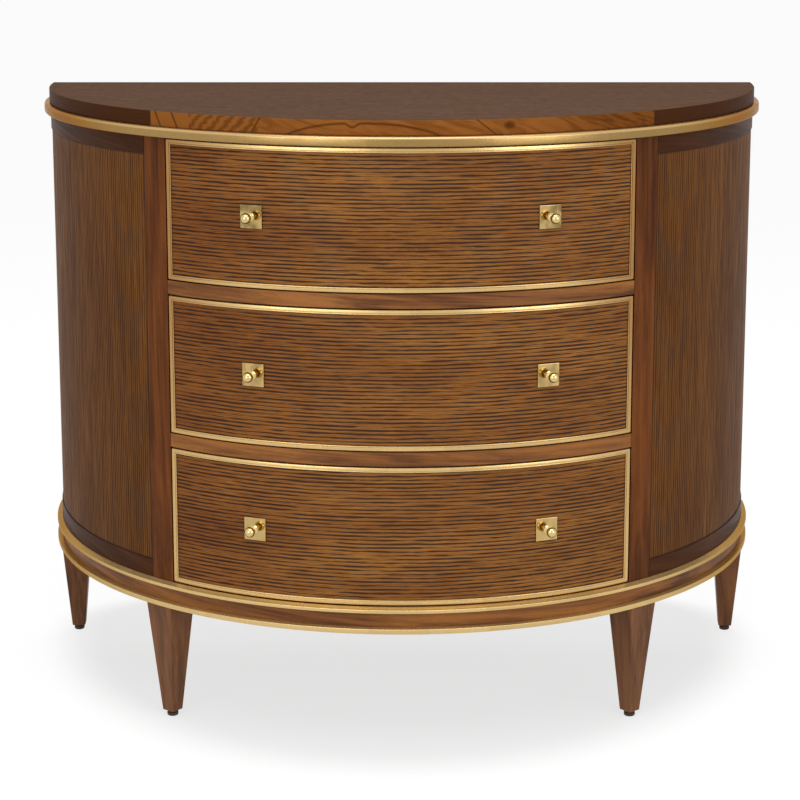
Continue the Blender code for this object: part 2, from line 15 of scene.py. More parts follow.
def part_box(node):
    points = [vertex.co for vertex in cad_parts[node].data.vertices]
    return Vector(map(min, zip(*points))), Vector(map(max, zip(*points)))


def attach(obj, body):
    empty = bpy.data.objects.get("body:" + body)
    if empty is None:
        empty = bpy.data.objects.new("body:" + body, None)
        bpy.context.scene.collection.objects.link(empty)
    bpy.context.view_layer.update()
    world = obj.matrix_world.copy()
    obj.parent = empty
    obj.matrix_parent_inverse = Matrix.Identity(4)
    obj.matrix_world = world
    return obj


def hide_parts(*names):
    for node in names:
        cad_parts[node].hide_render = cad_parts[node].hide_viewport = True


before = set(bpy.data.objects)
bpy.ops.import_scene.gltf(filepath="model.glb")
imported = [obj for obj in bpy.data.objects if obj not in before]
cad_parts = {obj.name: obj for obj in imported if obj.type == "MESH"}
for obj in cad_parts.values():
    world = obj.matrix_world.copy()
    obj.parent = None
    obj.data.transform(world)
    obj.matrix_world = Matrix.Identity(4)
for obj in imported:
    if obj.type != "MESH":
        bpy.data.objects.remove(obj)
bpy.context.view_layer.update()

bl_info = {
    "name": "Demilune Chest",
    "version": (1, 0, 0),
    "blender": (4, 5, 0),
    "location": "3D View > Sidebar > Chest",
    "description": "Dresses the frame of a half-round chest of drawers with fine pieces and finishes",
    "category": "Object",
}


def low(node):
    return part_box(node)[0]


def high(node):
    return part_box(node)[1]


# Radii and plan positions, read from the frame
AXIS_Y = high("top_board").y
TOP_RADIUS = high("top_board").x
CASE_RADIUS = high("base_frame").x
MOULDING_RADIUS = high("top_moulding").x
BEAD_RADIUS = high("base_bead_upper").x
PANEL_RADIUS = math.hypot(high("side_panel_right").x, AXIS_Y - high("side_panel_right").y)
FIELD_RADIUS = AXIS_Y - low("drawer_1_front").y
STILE_INNER_X = low("front_stile_right").x
STILE_OUTER_X = high("front_stile_right").x
STILE_BACK_Y = high("front_stile_right").y
BACK_STILE_X = low("back_stile_right").x
BACK_STILE_FRONT_Y = low("back_stile_right").y
DRAWER_HALF_WIDTH = high("drawer_1_gilt_frame").x
DRAWERS = (1, 2, 3)
SIDES = {"left": -1, "right": 1}
BACK_ANGLE = math.pi / 2

# Small distances and steps of the fine meshes
FLAT_BACK = 0.002  # how near the back plane the grain of a bent piece runs from side to side
END_PLAY = 0.0002  # how far the end of a swept piece may lie off the back plane before it is set into it
MERGE = 1e-6  # vertices nearer than this become one
PANEL_COLUMN, PANEL_ROW = 0.0007, 0.013  # grid of a side panel, whose lines are upright
FIELD_COLUMN, FIELD_ROW = 0.0045, 0.00058  # grid of a drawer field, whose lines are level
PANEL_RUN = 2.0  # how much longer the lines of a side panel are than those of a drawer
FINE_RELIEF = 0.0002  # depth of the relief that is left to the shaders
COLLAR_DROP, COLLAR_RISE = 0.0019, 0.0011  # a knob collar's middle under the ball, and half its height
FOOT_DROP, FOOT_HEIGHT, FOOT_RIM = 0.0022, 0.0016, 0.0010  # a knob foot's start under the collar, height and rim
QUIRK, BEAD_RISE = 0.0007, 0.0004  # depth of a gilt frame's quirk, and how far its bead rises out of it
LEAST_CORNER = 0.0002  # radius that a gilt frame's corners keep at their inner edge
BALL_STEPS, SMALL_STEPS = 24, 8  # steps of a knob's ball, and of its collar and foot
KNOB_SIDES, GLIDE_SIDES = 48, 40
EDGE_ANGLE = 40.0  # edges sharper than this are eased
# Angles, in degrees, from which an edge of a fine mesh stays sharp
SHARP_BOARD, SHARP_SWEPT, SHARP_TURNED, SHARP_FRAME, SHARP_PLATE, SHARP_COPY = 35.0, 28.0, 40.0, 30.0, 10.0, 20.0
# Profile of a glide from its top to its sole, as shares of its radius and height
GLIDE_PROFILE = ((0.0, 1.0), (0.82, 1.0), (0.82, 0.72), (1.0, 0.62), (1.0, 0.20), (0.90, 0.05), (0.80, 0.0),
                 (0.0, 0.0))
RECESS_SHADE_WIDTH = 0.0034  # how far the painted shade of the recess reaches in from a side panel's edges
LEAF_SQUARE = 0.083  # side of a square of gold leaf
# Seams on the top board's edge: degrees round the bow at its lower edge, and how far they lean up to its upper one
SEAMS = ((-37.3, -1.1), (-34.1, -1.1), (-21.6, 1.35), (13.6, -2.9))
EDGE_MIDDLE, EDGE_REACH = 0.3, 39.6  # middle of the edge's figured part and how far it goes to each side
LEFT_SEAM, SECOND_SEAM = -32.0, (-20.9, -20.2)  # where the plain light length ends and the striped one ends
ARCH_MIDDLE, ARCH_REACH, ARCH_RISE = -5.3, 10.8, 0.78  # the drawn arch in the edge's middle length
KNOT, KNOT_SIZE = (15.5, 0.60), (1.1, 0.34)  # place and size of the knot right of it

# Stage
PHOTO_SIDE = 800.0
FLOOR_REACH = 60.0
LAMP_TARGET = Vector((0.0, -0.1, 0.45))
LAMPS = (
    # name, place, size, property that holds its power
    ("overhead", (0.0, -1.35, 3.1), (2.6, 1.8), "overhead_power"),
    ("rear", (0.0, 2.4, 3.1), (2.6, 1.2), "rear_power"),
    ("box_left", (-1.62, -2.85, 1.20), (1.8, 1.5), "box_power"),
    ("box_right", (2.10, -2.45, 1.20), (1.5, 1.5), "box_power"),
)

WOODS = {
    # name: where it is, its light and its dark growth in linear light
    "walnut": ("the stiles", (0.160, 0.047, 0.0085), (0.050, 0.013, 0.0028)),
    "band": ("the plinth and shelf edges", (0.285, 0.105, 0.021), (0.085, 0.026, 0.006)),
    "leg": ("the legs", (0.215, 0.085, 0.029), (0.078, 0.027, 0.009)),
    "rail": ("the dark side rails", (0.075, 0.026, 0.009), (0.032, 0.011, 0.004)),
    "edge": ("the top board's edge", (0.262, 0.092, 0.018), (0.088, 0.026, 0.005)),
    "field": ("the drawers' brushed veneer", (0.310, 0.132, 0.030), (0.165, 0.056, 0.012)),
    "panel": ("the side panels' veneer", (0.186, 0.069, 0.012), (0.092, 0.033, 0.007)),
    "lining": ("the drawer boxes", (0.460, 0.310, 0.175), (0.330, 0.205, 0.105)),
    "carcass": ("the hidden boards", (0.165, 0.088, 0.044), (0.098, 0.050, 0.024)),
}
SOLID_WOODS = {
    # name: colours, way of the grain, stretch along it, contrast, slope of the grain, specular
    "walnut_upright": ("walnut", "upright", 1.0, 1.3, 0.02, 0.08),
    "walnut_round": ("band", "round", 1.0, 1.5, 0.05, 0.2),
    "walnut_leg": ("leg", "upright", 0.7, 1.1, 0.06, 0.2),
    "dark_rail": ("rail", "round", 1.0, 1.0, 0.11, 0.04),
    "lining": ("lining", "deep", 1.0, 0.8, 0.0, 0.2),
    "lining_across": ("lining", "across", 1.0, 0.8, 0.0, 0.2),
    "carcass": ("carcass", "deep", 1.0, 0.8, 0.0, 0.2),
    "carcass_upright": ("carcass", "upright", 1.0, 0.8, 0.0, 0.2),
}
GILDINGS = {
    # name: colour, ways aside and levels between which painted shade darkens the leaf, share of that shade,
    # depths under the moulding's top between which a painted highlight lightens the leaf
    "gold_leaf": ("gold", (0.34, 0.74), (0.0, 0.1), 0.62, None),
    "gold_of_frames": ("gold_of_frames", (0.20, 0.36), (0.30, 0.66), 0.72, None),
    # the moulding's leaf colour is a darker copy of the beads' leaf: painted shade
    "gold_of_moulding": ("gold_of_moulding", (0.36, 0.62), (0.0, 0.1), 0.86, (0.0044, 0.0028)),
}
BRASSES = {
    # name: colour, how dark its clouds of painted reflection are
    "polished_brass": ("brass", 0.0),
    "old_brass": ("old_brass", 0.85),
}
SHARED = {}


def length(description, default, precision=4):
    return FloatProperty(description=description, default=default, unit="LENGTH", precision=precision)


def number(description, default, unit="NONE"):
    return FloatProperty(description=description, default=default, unit=unit)


def colour(description, default):
    return FloatVectorProperty(description=description, default=default, size=3, min=0.0, max=1.0,
                               subtype="COLOR")


def named(group):
    """Names each property of a group after its key."""
    for key, entry in group.__annotations__.items():
        entry.keywords["name"] = key.replace("_", " ").capitalize()
    return group


@named
class ChestSizes(bpy.types.PropertyGroup):
    """Sizes of the fine detail, which the frame's boxes don't give."""

    arc_steps: IntProperty(description="Points on half the circle of the plan", default=240, min=24, max=720)
    arris: length("Width of the eased edge on a wooden piece", 0.0007)
    seat_gap: length("Gap between pieces that touch", 0.0003)
    top_arris: length("Rounding of the top board's edge", 0.0014)
    moulding_depth: length("Depth of the gilt moulding under the top", 0.017)
    moulding_round: length("Radius of the moulding's upper edge", 0.0040)
    moulding_chamfer: length("Radius of the moulding's lower edge", 0.0028)
    upper_bead_slope: length("Height of the upper bead's sloping top", 0.0028)
    lower_bead_slope: length("Height of the lower bead's sloping top", 0.0010)
    bead_round: length("Radius of a bead's front edges", 0.0007)
    rail_depth: length("Thickness of a curved side rail", 0.020)
    panel_thickness: length("Thickness of a curved side panel", 0.012)
    base_wall: length("Thickness of the base frame's wall", 0.0125)
    front_thickness: length("Thickness of a drawer front at its field", 0.019)
    frame_width: length("Width of a drawer's gilt frame", 0.0065)
    frame_depth: length("Depth of a drawer's gilt frame", 0.0080)
    frame_bead: length("Width of the rounded bead inside a gilt frame", 0.0018)
    frame_corner: length("Radius of a gilt frame's outer corners", 0.0016)
    grain_pitch: length("Distance between the brushed lines of a drawer front", 0.0053)
    panel_pitch: length("Distance between the lines of a side panel", 0.0046)
    grain_run: length("Usual length of one brushed line", 0.085)
    grain_depth: length("Depth of the brushed lines", 0.00028, 5)
    grain_seed: number("Where in the noise the brushed lines are taken from", 3.0)
    leg_top: length("Side of a leg where it meets the base", 0.0480)
    leg_foot: length("Side of a leg at its foot", 0.0203)
    leg_arris: length("Rounding of a leg's edges", 0.0013)
    tenon_side: length("Side of the tenon on a leg", 0.028)
    tenon_root: length("How far the tenon runs down into the leg", 0.012)
    tenon_shift: length("How far the tenon stands behind the leg's middle", 0.0089)
    ball: length("Diameter of a knob's ball", 0.0146)
    knob_foot: length("Diameter of a knob's foot", 0.0110)
    knob_neck: length("Diameter of a knob's neck", 0.0044)
    knob_collar: length("Diameter of the collar on a knob's neck", 0.0068)
    plate_thickness: length("Thickness of a backplate", 0.0020)
    plate_arris: length("Rounding of a backplate's edges", 0.0005)


@named
class ChestColours(bpy.types.PropertyGroup):
    """Colours of the finishes, in linear light. Each wood has a light and a dark one."""

    for wood, (where, *growths) in WOODS.items():
        for tone, growth in zip(("light", "dark"), growths):
            __annotations__[f"{wood}_{tone}"] = colour(f"The {tone} growth of {where}", growth)
    del wood, where, growths, tone, growth
    top_wood: colour("Ground of the top board", (0.118, 0.057, 0.029))
    top_grain: colour("Darker grain of the top board", (0.052, 0.025, 0.012))
    pore: colour("Glaze in the brushed lines", (0.031, 0.016, 0.012))
    gold: colour("Leaf of the two beads", (0.640, 0.450, 0.195))
    gold_of_frames: colour("Leaf of the drawers' frames", (0.640, 0.440, 0.190))
    # painted shade: a darker copy of the beads' leaf, for the darker surroundings that the moulding reflects
    gold_of_moulding: colour("Leaf under the top", (0.350, 0.222, 0.080))
    bole: colour("Red ground that shows through the leaf", (0.300, 0.120, 0.035))
    brass: colour("Polished brass of the knobs", (0.640, 0.490, 0.215))
    old_brass: colour("Softer brass of the backplates", (0.560, 0.392, 0.155))
    glide: colour("Dark glides", (0.040, 0.024, 0.015))
    floor: colour("Floor and background", (1.0, 1.0, 1.0))


@named
class ChestStage(bpy.types.PropertyGroup):
    """Camera, lamps and floor."""

    focal_pixels: number("Focal length in pixels of the photograph", 2221.73)
    principal_row: number("Pixel row of the photograph that the lens faces", 296.0)
    camera_place: FloatVectorProperty(description="Where the camera stands", subtype="TRANSLATION",
                                      default=(0.00989, -3.15924, 1.19227))
    camera_tilt: number("Angle of the lens below the horizon", 0.18847, "ROTATION")
    camera_yaw: number("Angle of the lens from straight ahead", -0.00368, "ROTATION")
    camera_roll: number("Turn of the picture about the lens", -0.00039, "ROTATION")
    sky_light: number("Strength of the soft light from all round", 0.60)
    floor_shade: number("How much light the floor sends back", 0.78)
    floor_seen: number("How much of the light shows on the visible floor", 0.15)
    # the visible floor's lower glow near the chest is a painted shadow
    floor_glow: number("What lifts the visible floor near the chest", 0.715)
    open_glow: number("What lifts the visible floor away from the chest", 0.870)
    glow_start: number("How far from the plan's axis the glow begins to rise", 0.53, "LENGTH")
    glow_end: number("How far from the plan's axis the glow is full", 0.65, "LENGTH")
    overhead_power: number("Power of the lamp over the front", 40.0)
    rear_power: number("Power of the high lamp behind", 26.0)
    box_power: number("Power of each soft box at the sides", 24.0)


class Term:
    """The outcome of a node, which can be reckoned with like a number."""

    def __init__(self, recipe, socket):
        self.recipe, self.socket = recipe, socket

    def __add__(self, other):
        return self.recipe.math("ADD", self, other)

    def __sub__(self, other):
        return self.recipe.math("SUBTRACT", self, other)

    def __rsub__(self, other):
        return self.recipe.math("SUBTRACT", other, self)

    def __mul__(self, other):
        return self.recipe.math("MULTIPLY", self, other)

    def __truediv__(self, other):
        return self.recipe.math("DIVIDE", self, other)

    def __abs__(self):
        return self.recipe.math("ABSOLUTE", self)

    __radd__, __rmul__ = __add__, __mul__


class Recipe:
    """Adds nodes to a shader or geometry tree. A value is a number, a tuple, a term or a node's socket."""

    def __init__(self, tree):
        self.tree = tree

    def feed(self, socket, value):
        if isinstance(value, Term):
            value = value.socket
        if isinstance(value, bpy.types.NodeSocket):
            self.tree.links.new(value, socket)
        else:
            socket.default_value = value

    def add(self, kind, inputs=None, **settings):
        node = self.tree.nodes.new(kind)
        for key, value in settings.items():
            setattr(node, key, value)
        for key, value in (inputs or {}).items():
            self.feed(node.inputs[key], value)
        return node

    def term(self, kind, inputs=None, outlet=0, **settings):
        return Term(self, self.add(kind, inputs, **settings).outputs[outlet])

    def math(self, operation, first, second=0.0, clamp=False):
        return self.term("ShaderNodeMath", {0: first, 1: second}, operation=operation, use_clamp=clamp)

    def most(self, first, *others):
        for other in others:
            first = self.math("MAXIMUM", first, other)
        return first

    def vector(self, x, y, z):
        return self.term("ShaderNodeCombineXYZ", {0: x, 1: y, 2: z})

    def split(self, vector):
        return tuple(Term(self, part) for part in self.add("ShaderNodeSeparateXYZ", {0: vector}).outputs)

    def noise(self, place, detail=2.0, roughness=0.5, distortion=0.0, scale=1.0):
        """Noise at a place, which is one vector or its three parts."""
        vector = self.vector(*place) if isinstance(place, tuple) else place
        return self.term("ShaderNodeTexNoise", {"Vector": vector, "Scale": scale, "Detail": detail,
                                                "Roughness": roughness, "Distortion": distortion})

    def span(self, value, start, end, low_value=0.0, high_value=1.0, kind="SMOOTHSTEP"):
        """Turns values between start and end into values between low_value and high_value."""
        return self.term("ShaderNodeMapRange", {0: value, 1: start, 2: end, 3: low_value, 4: high_value},
                         interpolation_type=kind)

    def thread(self, offset, width):
        """A line where the offset is 0, which fades out at the given distance."""
        return self.span(abs(offset), 0.0, width, 1.0, 0.0)

    def mix(self, share, first, second, blend="MIX"):
        node = self.add("ShaderNodeMix", data_type="RGBA", blend_type=blend, clamp_factor=True)
        for index, value in ((0, share), (6, colour4(first)), (7, colour4(second))):
            self.feed(node.inputs[index], value)
        return Term(self, node.outputs[2])


class Finish(Recipe):
    """The recipe of a material with a Principled shader. Its place is that of the point on its object."""

    def __init__(self, name, roughness, metallic=0.0, specular=0.2):
        self.material = bpy.data.materials.new(name)
        self.material.use_nodes = True
        super().__init__(self.material.node_tree)
        self.inputs = self.tree.nodes["Principled BSDF"].inputs
        self.inputs["Roughness"].default_value = roughness
        self.inputs["Metallic"].default_value = metallic
        self.inputs["Specular IOR Level"].default_value = specular
        self.place = self.term("ShaderNodeTexCoord", outlet="Object")

    def relief(self, height, strength, distance=FINE_RELIEF):
        """Fine relief that is too small for the mesh."""
        self.feed(self.inputs["Normal"], self.term("ShaderNodeBump", {"Height": height, "Strength": strength,
                                                                      "Distance": distance}))

    def close(self, base, roughness=None):
        self.feed(self.inputs["Base Color"], base)
        if roughness:
            self.feed(self.inputs["Roughness"], roughness)
        return self.material


def colour4(value):
    """A colour with its alpha, or the term that it came as."""
    return value if isinstance(value, Term) else (*value, 1.0)


def shade(base, factor):
    return tuple(part * factor for part in base)


def bow_place(recipe, position):
    """Where a point lies on the bow: its way round from the middle, its height and its distance from the axis."""
    x, y, z = recipe.split(position)
    forward = AXIS_Y - y
    distance = recipe.math("SQRT", x * x + forward * forward)
    return recipe.math("ARCTAN2", x, forward) * CASE_RADIUS, z, distance


def line_set(recipe, along, across, seed, widest):
    """One line to each unit across: nearly straight, fading in and out over runs a unit long. 1 is in a line."""
    drift = recipe.noise((along * 0.25, across * 0.04, seed))
    waver = recipe.noise((along * 2.4, across * 0.7, recipe.math("ADD", seed, 5.0)), 1.0)
    phase = across + (drift * 0.9 + waver * 0.42)
    line = recipe.math("FLOOR", phase)
    ridge = 1.0 - abs(recipe.math("FRACT", phase) * 2.0 - 1.0)
    life = recipe.noise((along * 1.15, line * 5.37, recipe.math("ADD", seed, 9.0)), 3.0, 0.6)
    start = recipe.span(life, 0.27, 0.56, 0.93, 1.0 - widest, "LINEAR")
    return recipe.span(ridge - start, 0.0, 0.34)


def brushed_lines(recipe, along, across, pitch, run, seed):
    """The main lines of the brushed grain, which are both cut into the mesh and darkened."""
    return line_set(recipe, along / run, across / pitch, seed, 0.64)


class Finishes:
    """Makes each finish once, when a piece first asks for it."""

    def __init__(self, colours, sizes):
        self.colours = colours
        self.sizes = sizes
        self.made = {}

    def get(self, name):
        if name not in self.made:
            for table, make in ((SOLID_WOODS, self.solid), (GILDINGS, self.leaf), (BRASSES, self.polished)):
                if name in table:
                    self.made[name] = make(name, *table[name])
                    break
            else:
                self.made[name] = getattr(self, name)()
        return self.made[name]

    def pair(self, wood):
        """The light and the dark colour of a wood."""
        return getattr(self.colours, f"{wood}_light"), getattr(self.colours, f"{wood}_dark")

    def solid(self, name, wood, way, stretch, contrast, slope, specular):
        """Solid wood with broad bands of growth, streaks along the grain and short fine pores. Its grain runs
        upright, round the bow, across the front or from front to back."""
        finish = Finish(name, 0.45, specular=specular)
        light, dark = self.pair(wood)
        x, y, z = finish.split(finish.place)
        along, across, depth = {"upright": (z, x, y), "across": (x, y, z), "deep": (y, x, z)}.get(way, (x, y, z))
        if way == "round":
            around, across, distance = bow_place(finish, finish.place)
            flat = finish.math("GREATER_THAN", y, AXIS_Y - FLAT_BACK)
            along = flat * x + (1.0 - flat) * around
            depth = flat * y + (1.0 - flat) * distance
        across = across + along * slope
        broad = finish.noise((along * (3.0 / stretch), across * 26.0, depth * 26.0), 4.0, 0.6, 0.9)
        streak = finish.noise((along * (7.0 / stretch), across * 190.0, depth * 190.0), 5.0, 0.65, 0.4)
        pore = finish.span(finish.noise((along * 90.0, across * 1700.0, depth * 1700.0)), 0.56, 0.74)
        growth = finish.span(broad, 0.34, 0.66) * 0.62 + finish.span(streak, 0.30, 0.70) * 0.38
        growth = (growth - 0.5) * contrast + 0.5
        base = finish.mix(pore * 0.45, finish.mix(growth, dark, light), shade(dark, 0.45))
        finish.relief(streak - pore * 0.6, 0.35)
        return finish.close(base, finish.span(streak, 0.3, 0.7, 0.50, 0.38, "LINEAR"))

    def top_veneer(self):
        """Dark top with fine, even grain from side to side."""
        finish = Finish("top_veneer", 0.65, specular=0.01)
        x, y, z = finish.split(finish.place)
        fine = finish.noise((x * 14.0, y * 420.0, z), 4.0, 0.7)
        broad = finish.noise((x * 2.0, y * 22.0, z), 3.0, distortion=0.5)
        mottle = finish.noise((x * 70.0, y * 75.0, z), 4.0, 0.7)
        growth = finish.span(fine, 0.3, 0.7) * 0.5 + broad * 0.3
        growth = growth + finish.span(mottle, 0.34, 0.66, -0.14, 0.34, "LINEAR")
        finish.relief(fine, 0.25)
        return finish.close(finish.mix(growth, self.colours.top_grain, self.colours.top_wood),
                            finish.span(fine, 0.3, 0.7, 0.70, 0.60, "LINEAR"))

    def brushed_field(self):
        """Drawer veneer with strong brushed lines along the bow, redder on the left."""
        finish = Finish("brushed_field", 0.50, specular=0.06)
        around, up, distance = bow_place(finish, finish.place)
        base = self.brushed(finish, around, up, self.sizes.grain_pitch, self.sizes.grain_run, "field", 0.95)
        redder = finish.span(around, -0.32, -0.05, 0.9, 0.0)
        return finish.close(finish.mix(redder, base, (0.84, 0.74, 0.72), "MULTIPLY"))

    def striped_panel(self):
        """Side veneer with straighter upright lines, with painted shade of the recess dark round its edges."""
        finish = Finish("striped_panel", 0.50, specular=0.04)
        around, up, distance = bow_place(finish, finish.place)
        run = PANEL_RUN * self.sizes.grain_run
        base = self.brushed(finish, up, around, self.sizes.panel_pitch, run, "panel", 0.84)
        seam = angle_at_x(PANEL_RADIUS, STILE_OUTER_X) * CASE_RADIUS
        edges = (up - low("side_panel_left").z, up - high("side_panel_left").z, abs(around) - seam)
        # painted shade: the panel darkens along the rails and stile, where its recessed edges lie in shade
        painted_recess_shade = finish.most(*[finish.thread(edge, RECESS_SHADE_WIDTH) for edge in edges])
        return finish.close(finish.mix(painted_recess_shade * 0.8, base, self.colours.pore))

    def brushed(self, finish, along, across, pitch, run, veneer, strength):
        """Colour of a brushed veneer with main lines and fainter, finer ones. Its roughness and finest relief
        are set on the way."""
        light, dark = self.pair(veneer)
        seed = self.sizes.grain_seed
        main = brushed_lines(finish, along, across, pitch, run, seed)
        faint = line_set(finish, along * (1.9 / run), across * (2.3 / pitch), seed + 20.0, 0.60)
        fibre = finish.noise((along * 26.0, across * 820.0, 2.0), 3.0, 0.7)
        broad = finish.noise((along * 3.0, across * 16.0, 5.0), 3.0)
        growth = finish.span(fibre, 0.34, 0.66) * 0.60 + finish.span(broad, 0.35, 0.65) * 0.40
        lines = finish.most(main * strength, faint * (0.45 * strength))
        finish.feed(finish.inputs["Roughness"], finish.span(main, 0.0, 1.0, 0.44, 0.66, "LINEAR"))
        finish.relief(fibre, 0.3)
        return finish.mix(lines, finish.mix(growth, dark, light), self.colours.pore)

    def top_edge(self):
        """Lipping of the top board: dark at the sides, and in front three figured lengths with sharp seams.
        The turn is in degrees round the bow, and the rise goes from 0 to 1 up the edge."""
        finish = Finish("top_edge", 0.45, specular=0.012)
        around, up, distance = bow_place(finish, finish.place)
        turn = around * (math.degrees(1.0) / CASE_RADIUS)
        rise = (up - low("top_board").z) * (1.0 / (high("top_board").z - low("top_board").z))
        light, dark = self.pair("edge")
        fine = finish.noise((around * 60.0, up * 500.0, 0.0), 4.0, 0.7)
        swirl = finish.noise((around * 30.0 + up * 70.0, up * 40.0, 7.0), 4.0, distortion=1.5)
        growth = finish.span(swirl, 0.34, 0.62, 0.22, 0.60) + fine * 0.4
        growth = growth - finish.span(turn, 18.0, 34.0, 0.0, 0.35)
        stripe_place = turn * 0.55 + rise * -1.2 + swirl * 1.3
        stripes = finish.span(finish.math("PINGPONG", stripe_place, 0.5), 0.0, 0.5, 0.0, 0.75) + fine * 0.25
        second = finish.span(turn, *SECOND_SEAM, 1.0, 0.0) * 0.80
        base = finish.mix(second, finish.mix(growth, dark, light), finish.mix(stripes, dark, light))
        plain_light = finish.mix(fine, shade(light, 0.75), light)
        base = finish.mix(finish.math("LESS_THAN", turn, LEFT_SEAM), base, plain_light)
        reach = (turn - ARCH_MIDDLE) * (1.0 / ARCH_REACH)
        arch = ARCH_RISE - finish.math("POWER", abs(reach), 2.6) * ARCH_RISE
        arch = arch - finish.thread(turn + 6.75, 1.2) * 0.25
        drawn = [finish.thread(rise - arch, 0.14)]
        for start, lean in SEAMS:
            drawn.append(finish.thread(turn - (start + rise * lean), 0.34))
        knot_x, knot_z = [(way - place) * (1.0 / size) for way, place, size in zip((turn, rise), KNOT, KNOT_SIZE)]
        drawn.append(finish.thread(knot_x * knot_x + knot_z * knot_z, 1.0))
        base = finish.mix(finish.most(*drawn) * 0.75, base, shade(dark, 0.5))
        plain = finish.mix(fine, self.colours.rail_dark, self.colours.rail_light)
        aside = finish.math("GREATER_THAN", abs(turn - EDGE_MIDDLE), EDGE_REACH)
        finish.relief(fine, 0.25)
        return finish.close(finish.mix(aside, base, plain))

    def leaf(self, name, colour_name, aside, levels, share, painted_highlight_depths):
        """Leaf laid in squares and brushed along, worn through to the red ground here and there. Painted shade
        mixes it toward the red ground far aside and high up, and a painted highlight lightens it up to the edge
        above."""
        finish = Finish(name, 0.34, metallic=0.75, specular=0.3)
        finish.inputs["Specular Tint"].default_value = colour4(self.colours.gold)
        gold = getattr(self.colours, colour_name)
        around, up, distance = bow_place(finish, finish.place)
        square = finish.math("FLOOR", around * (1.0 / LEAF_SQUARE) + up * 3.0)
        tone = finish.term("ShaderNodeTexWhiteNoise", {"W": square}, noise_dimensions="1D")
        crease = finish.noise((around * 70.0, up * 900.0, distance * 900.0), 4.0, 0.7)
        cloud = finish.noise((around * 34.0, up * 60.0, 6.0), 3.0)
        worn = finish.span(crease * 0.6 + cloud * 0.4, 0.54, 0.70)
        base = finish.mix(tone * 0.34, gold, shade(gold, 0.62))
        # painted highlight: the moulding's leaf is lightened up to its rounded upper edge, where light falls
        if painted_highlight_depths:
            painted_highlight = finish.span(up, *[high("top_moulding").z - depth for depth in painted_highlight_depths])
            base = finish.mix(painted_highlight, base, tuple(min(1.0, part * 1.5 + 0.04) for part in gold))
        base = finish.mix(worn * 0.28, base, self.colours.bole)
        # painted shade: far aside, and on the frames higher up, the leaf is mixed toward the red ground
        painted_shade = finish.span(abs(around), *aside, 0.0, share) * finish.span(up, *levels, 0.12, 1.0)
        finish.relief(crease, 0.18)
        return finish.close(finish.mix(painted_shade, base, self.colours.bole),
                            finish.span(cloud, 0.3, 0.7, 0.22, 0.34, "LINEAR"))

    def polished(self, name, colour_name, painted_cloud_darkness):
        """Polished brass with faint wiping marks, and with darker clouds of painted reflection, stronger higher up
        as painted shade.
        """
        finish = Finish(name, 0.10, metallic=1.0, specular=0.5)
        brass = getattr(self.colours, colour_name)
        x, y, z = finish.split(finish.place)
        haze = finish.noise((x * 900.0, y * 900.0, z * 300.0), 3.0)
        # painted reflection and shade: dark clouds, stronger on the higher plates, stand in for the darker
        # surroundings they mirror
        cloud = finish.noise((x * 85.0, y * 85.0, z * 60.0), 1.0)
        cloud = finish.span(cloud, 0.34, 0.66, painted_cloud_darkness, 0.0) * finish.span(z, 0.34, 0.70, 0.25, 1.0)
        base = finish.mix(cloud, finish.mix(haze * 0.25, brass, shade(brass, 0.8)), shade(brass, 0.38))
        return finish.close(base, finish.span(haze, 0.3, 0.7, 0.02, 0.06, "LINEAR"))

    def dark_glide(self):
        finish = Finish("dark_glide", 0.45)
        speck = finish.noise(finish.place, 3.0, scale=1500.0)
        finish.relief(speck, 0.3, 0.0001)
        return finish.close(finish.mix(speck, self.colours.glide, shade(self.colours.glide, 1.8)))


def finishes():
    """The finishes of this run, kept between operators."""
    if "shop" not in SHARED:
        SHARED["shop"] = Finishes(bpy.context.scene.chest_colours, settings())
    return SHARED["shop"]


def settings():
    return bpy.context.scene.chest_sizes


def on_bow(radius, angle):
    """The plan point at an angle from straight ahead."""
    return radius * math.sin(angle), AXIS_Y - radius * math.cos(angle)


def bow_y(radius, x):
    """How far forward the bow reaches at a given distance from the middle."""
    return AXIS_Y - math.sqrt(radius ** 2 - x ** 2)


def even_steps(start, end, pitch):
    count = max(2, math.ceil(abs(end - start) / pitch))
    return [start + (end - start) * step / count for step in range(count + 1)]


def arc(radius, start, end):
    """Plan points from one angle to another, as close together as the sizes ask."""
    count = max(2, round(abs(end - start) / math.pi * settings().arc_steps))
    return [on_bow(radius, start + (end - start) * step / count) for step in range(count + 1)]


def angle_at_x(radius, x):
    return math.asin(x / radius)


def angle_at_y(radius, y):
    return math.acos((AXIS_Y - y) / radius)


def bow_angle(point):
    """The angle from straight ahead at which a point lies."""
    return math.atan2(point.x, AXIS_Y - point.y)


def bow_front(radius, half_width):
    """Plan points across the front from one distance aside to the same on the other side."""
    return arc(radius, -angle_at_x(radius, half_width), angle_at_x(radius, half_width))


def mirrored(outline, side):
    return outline if side > 0 else [(-x, y) for x, y in reversed(outline)]


def middle(node):
    return (low(node) + high(node)) / 2


def smooth(mesh, sharp_angle):
    mesh.shade_smooth()
    mesh.set_sharp_from_angle(angle=math.radians(sharp_angle))


def to_mesh(work, sharp_angle=SHARP_BOARD):
    """Turns a bmesh into a mesh with its faces pointing out, smooth except at sharp edges."""
    bmesh.ops.recalc_face_normals(work, faces=work.faces)
    mesh = bpy.data.meshes.new("piece")
    work.to_mesh(mesh)
    work.free()
    smooth(mesh, sharp_angle)
    return mesh


def band(work, below, above):
    """Joins two closed rings of vertices with four-sided faces."""
    for index in range(len(below)):
        after = (index + 1) % len(below)
        work.faces.new((below[index], below[after], above[after], above[index]))


def solid(work, floor, roof):
    """Adds the closed solid between two rings of points to a bmesh."""
    below, above = ([work.verts.new(point) for point in points] for points in (floor, roof))
    work.faces.new(reversed(below))
    work.faces.new(above)
    band(work, below, above)


def prism(outline, bottom, top):
    """A closed board with the given plan, between two levels."""
    work = bmesh.new()
    solid(work, *[[(x, y, level) for x, y in outline] for level in (bottom, top)])
    return to_mesh(work)


def board(node, outline):
    """A prism as high as its node."""
    return prism(outline, low(node).z, high(node).z)


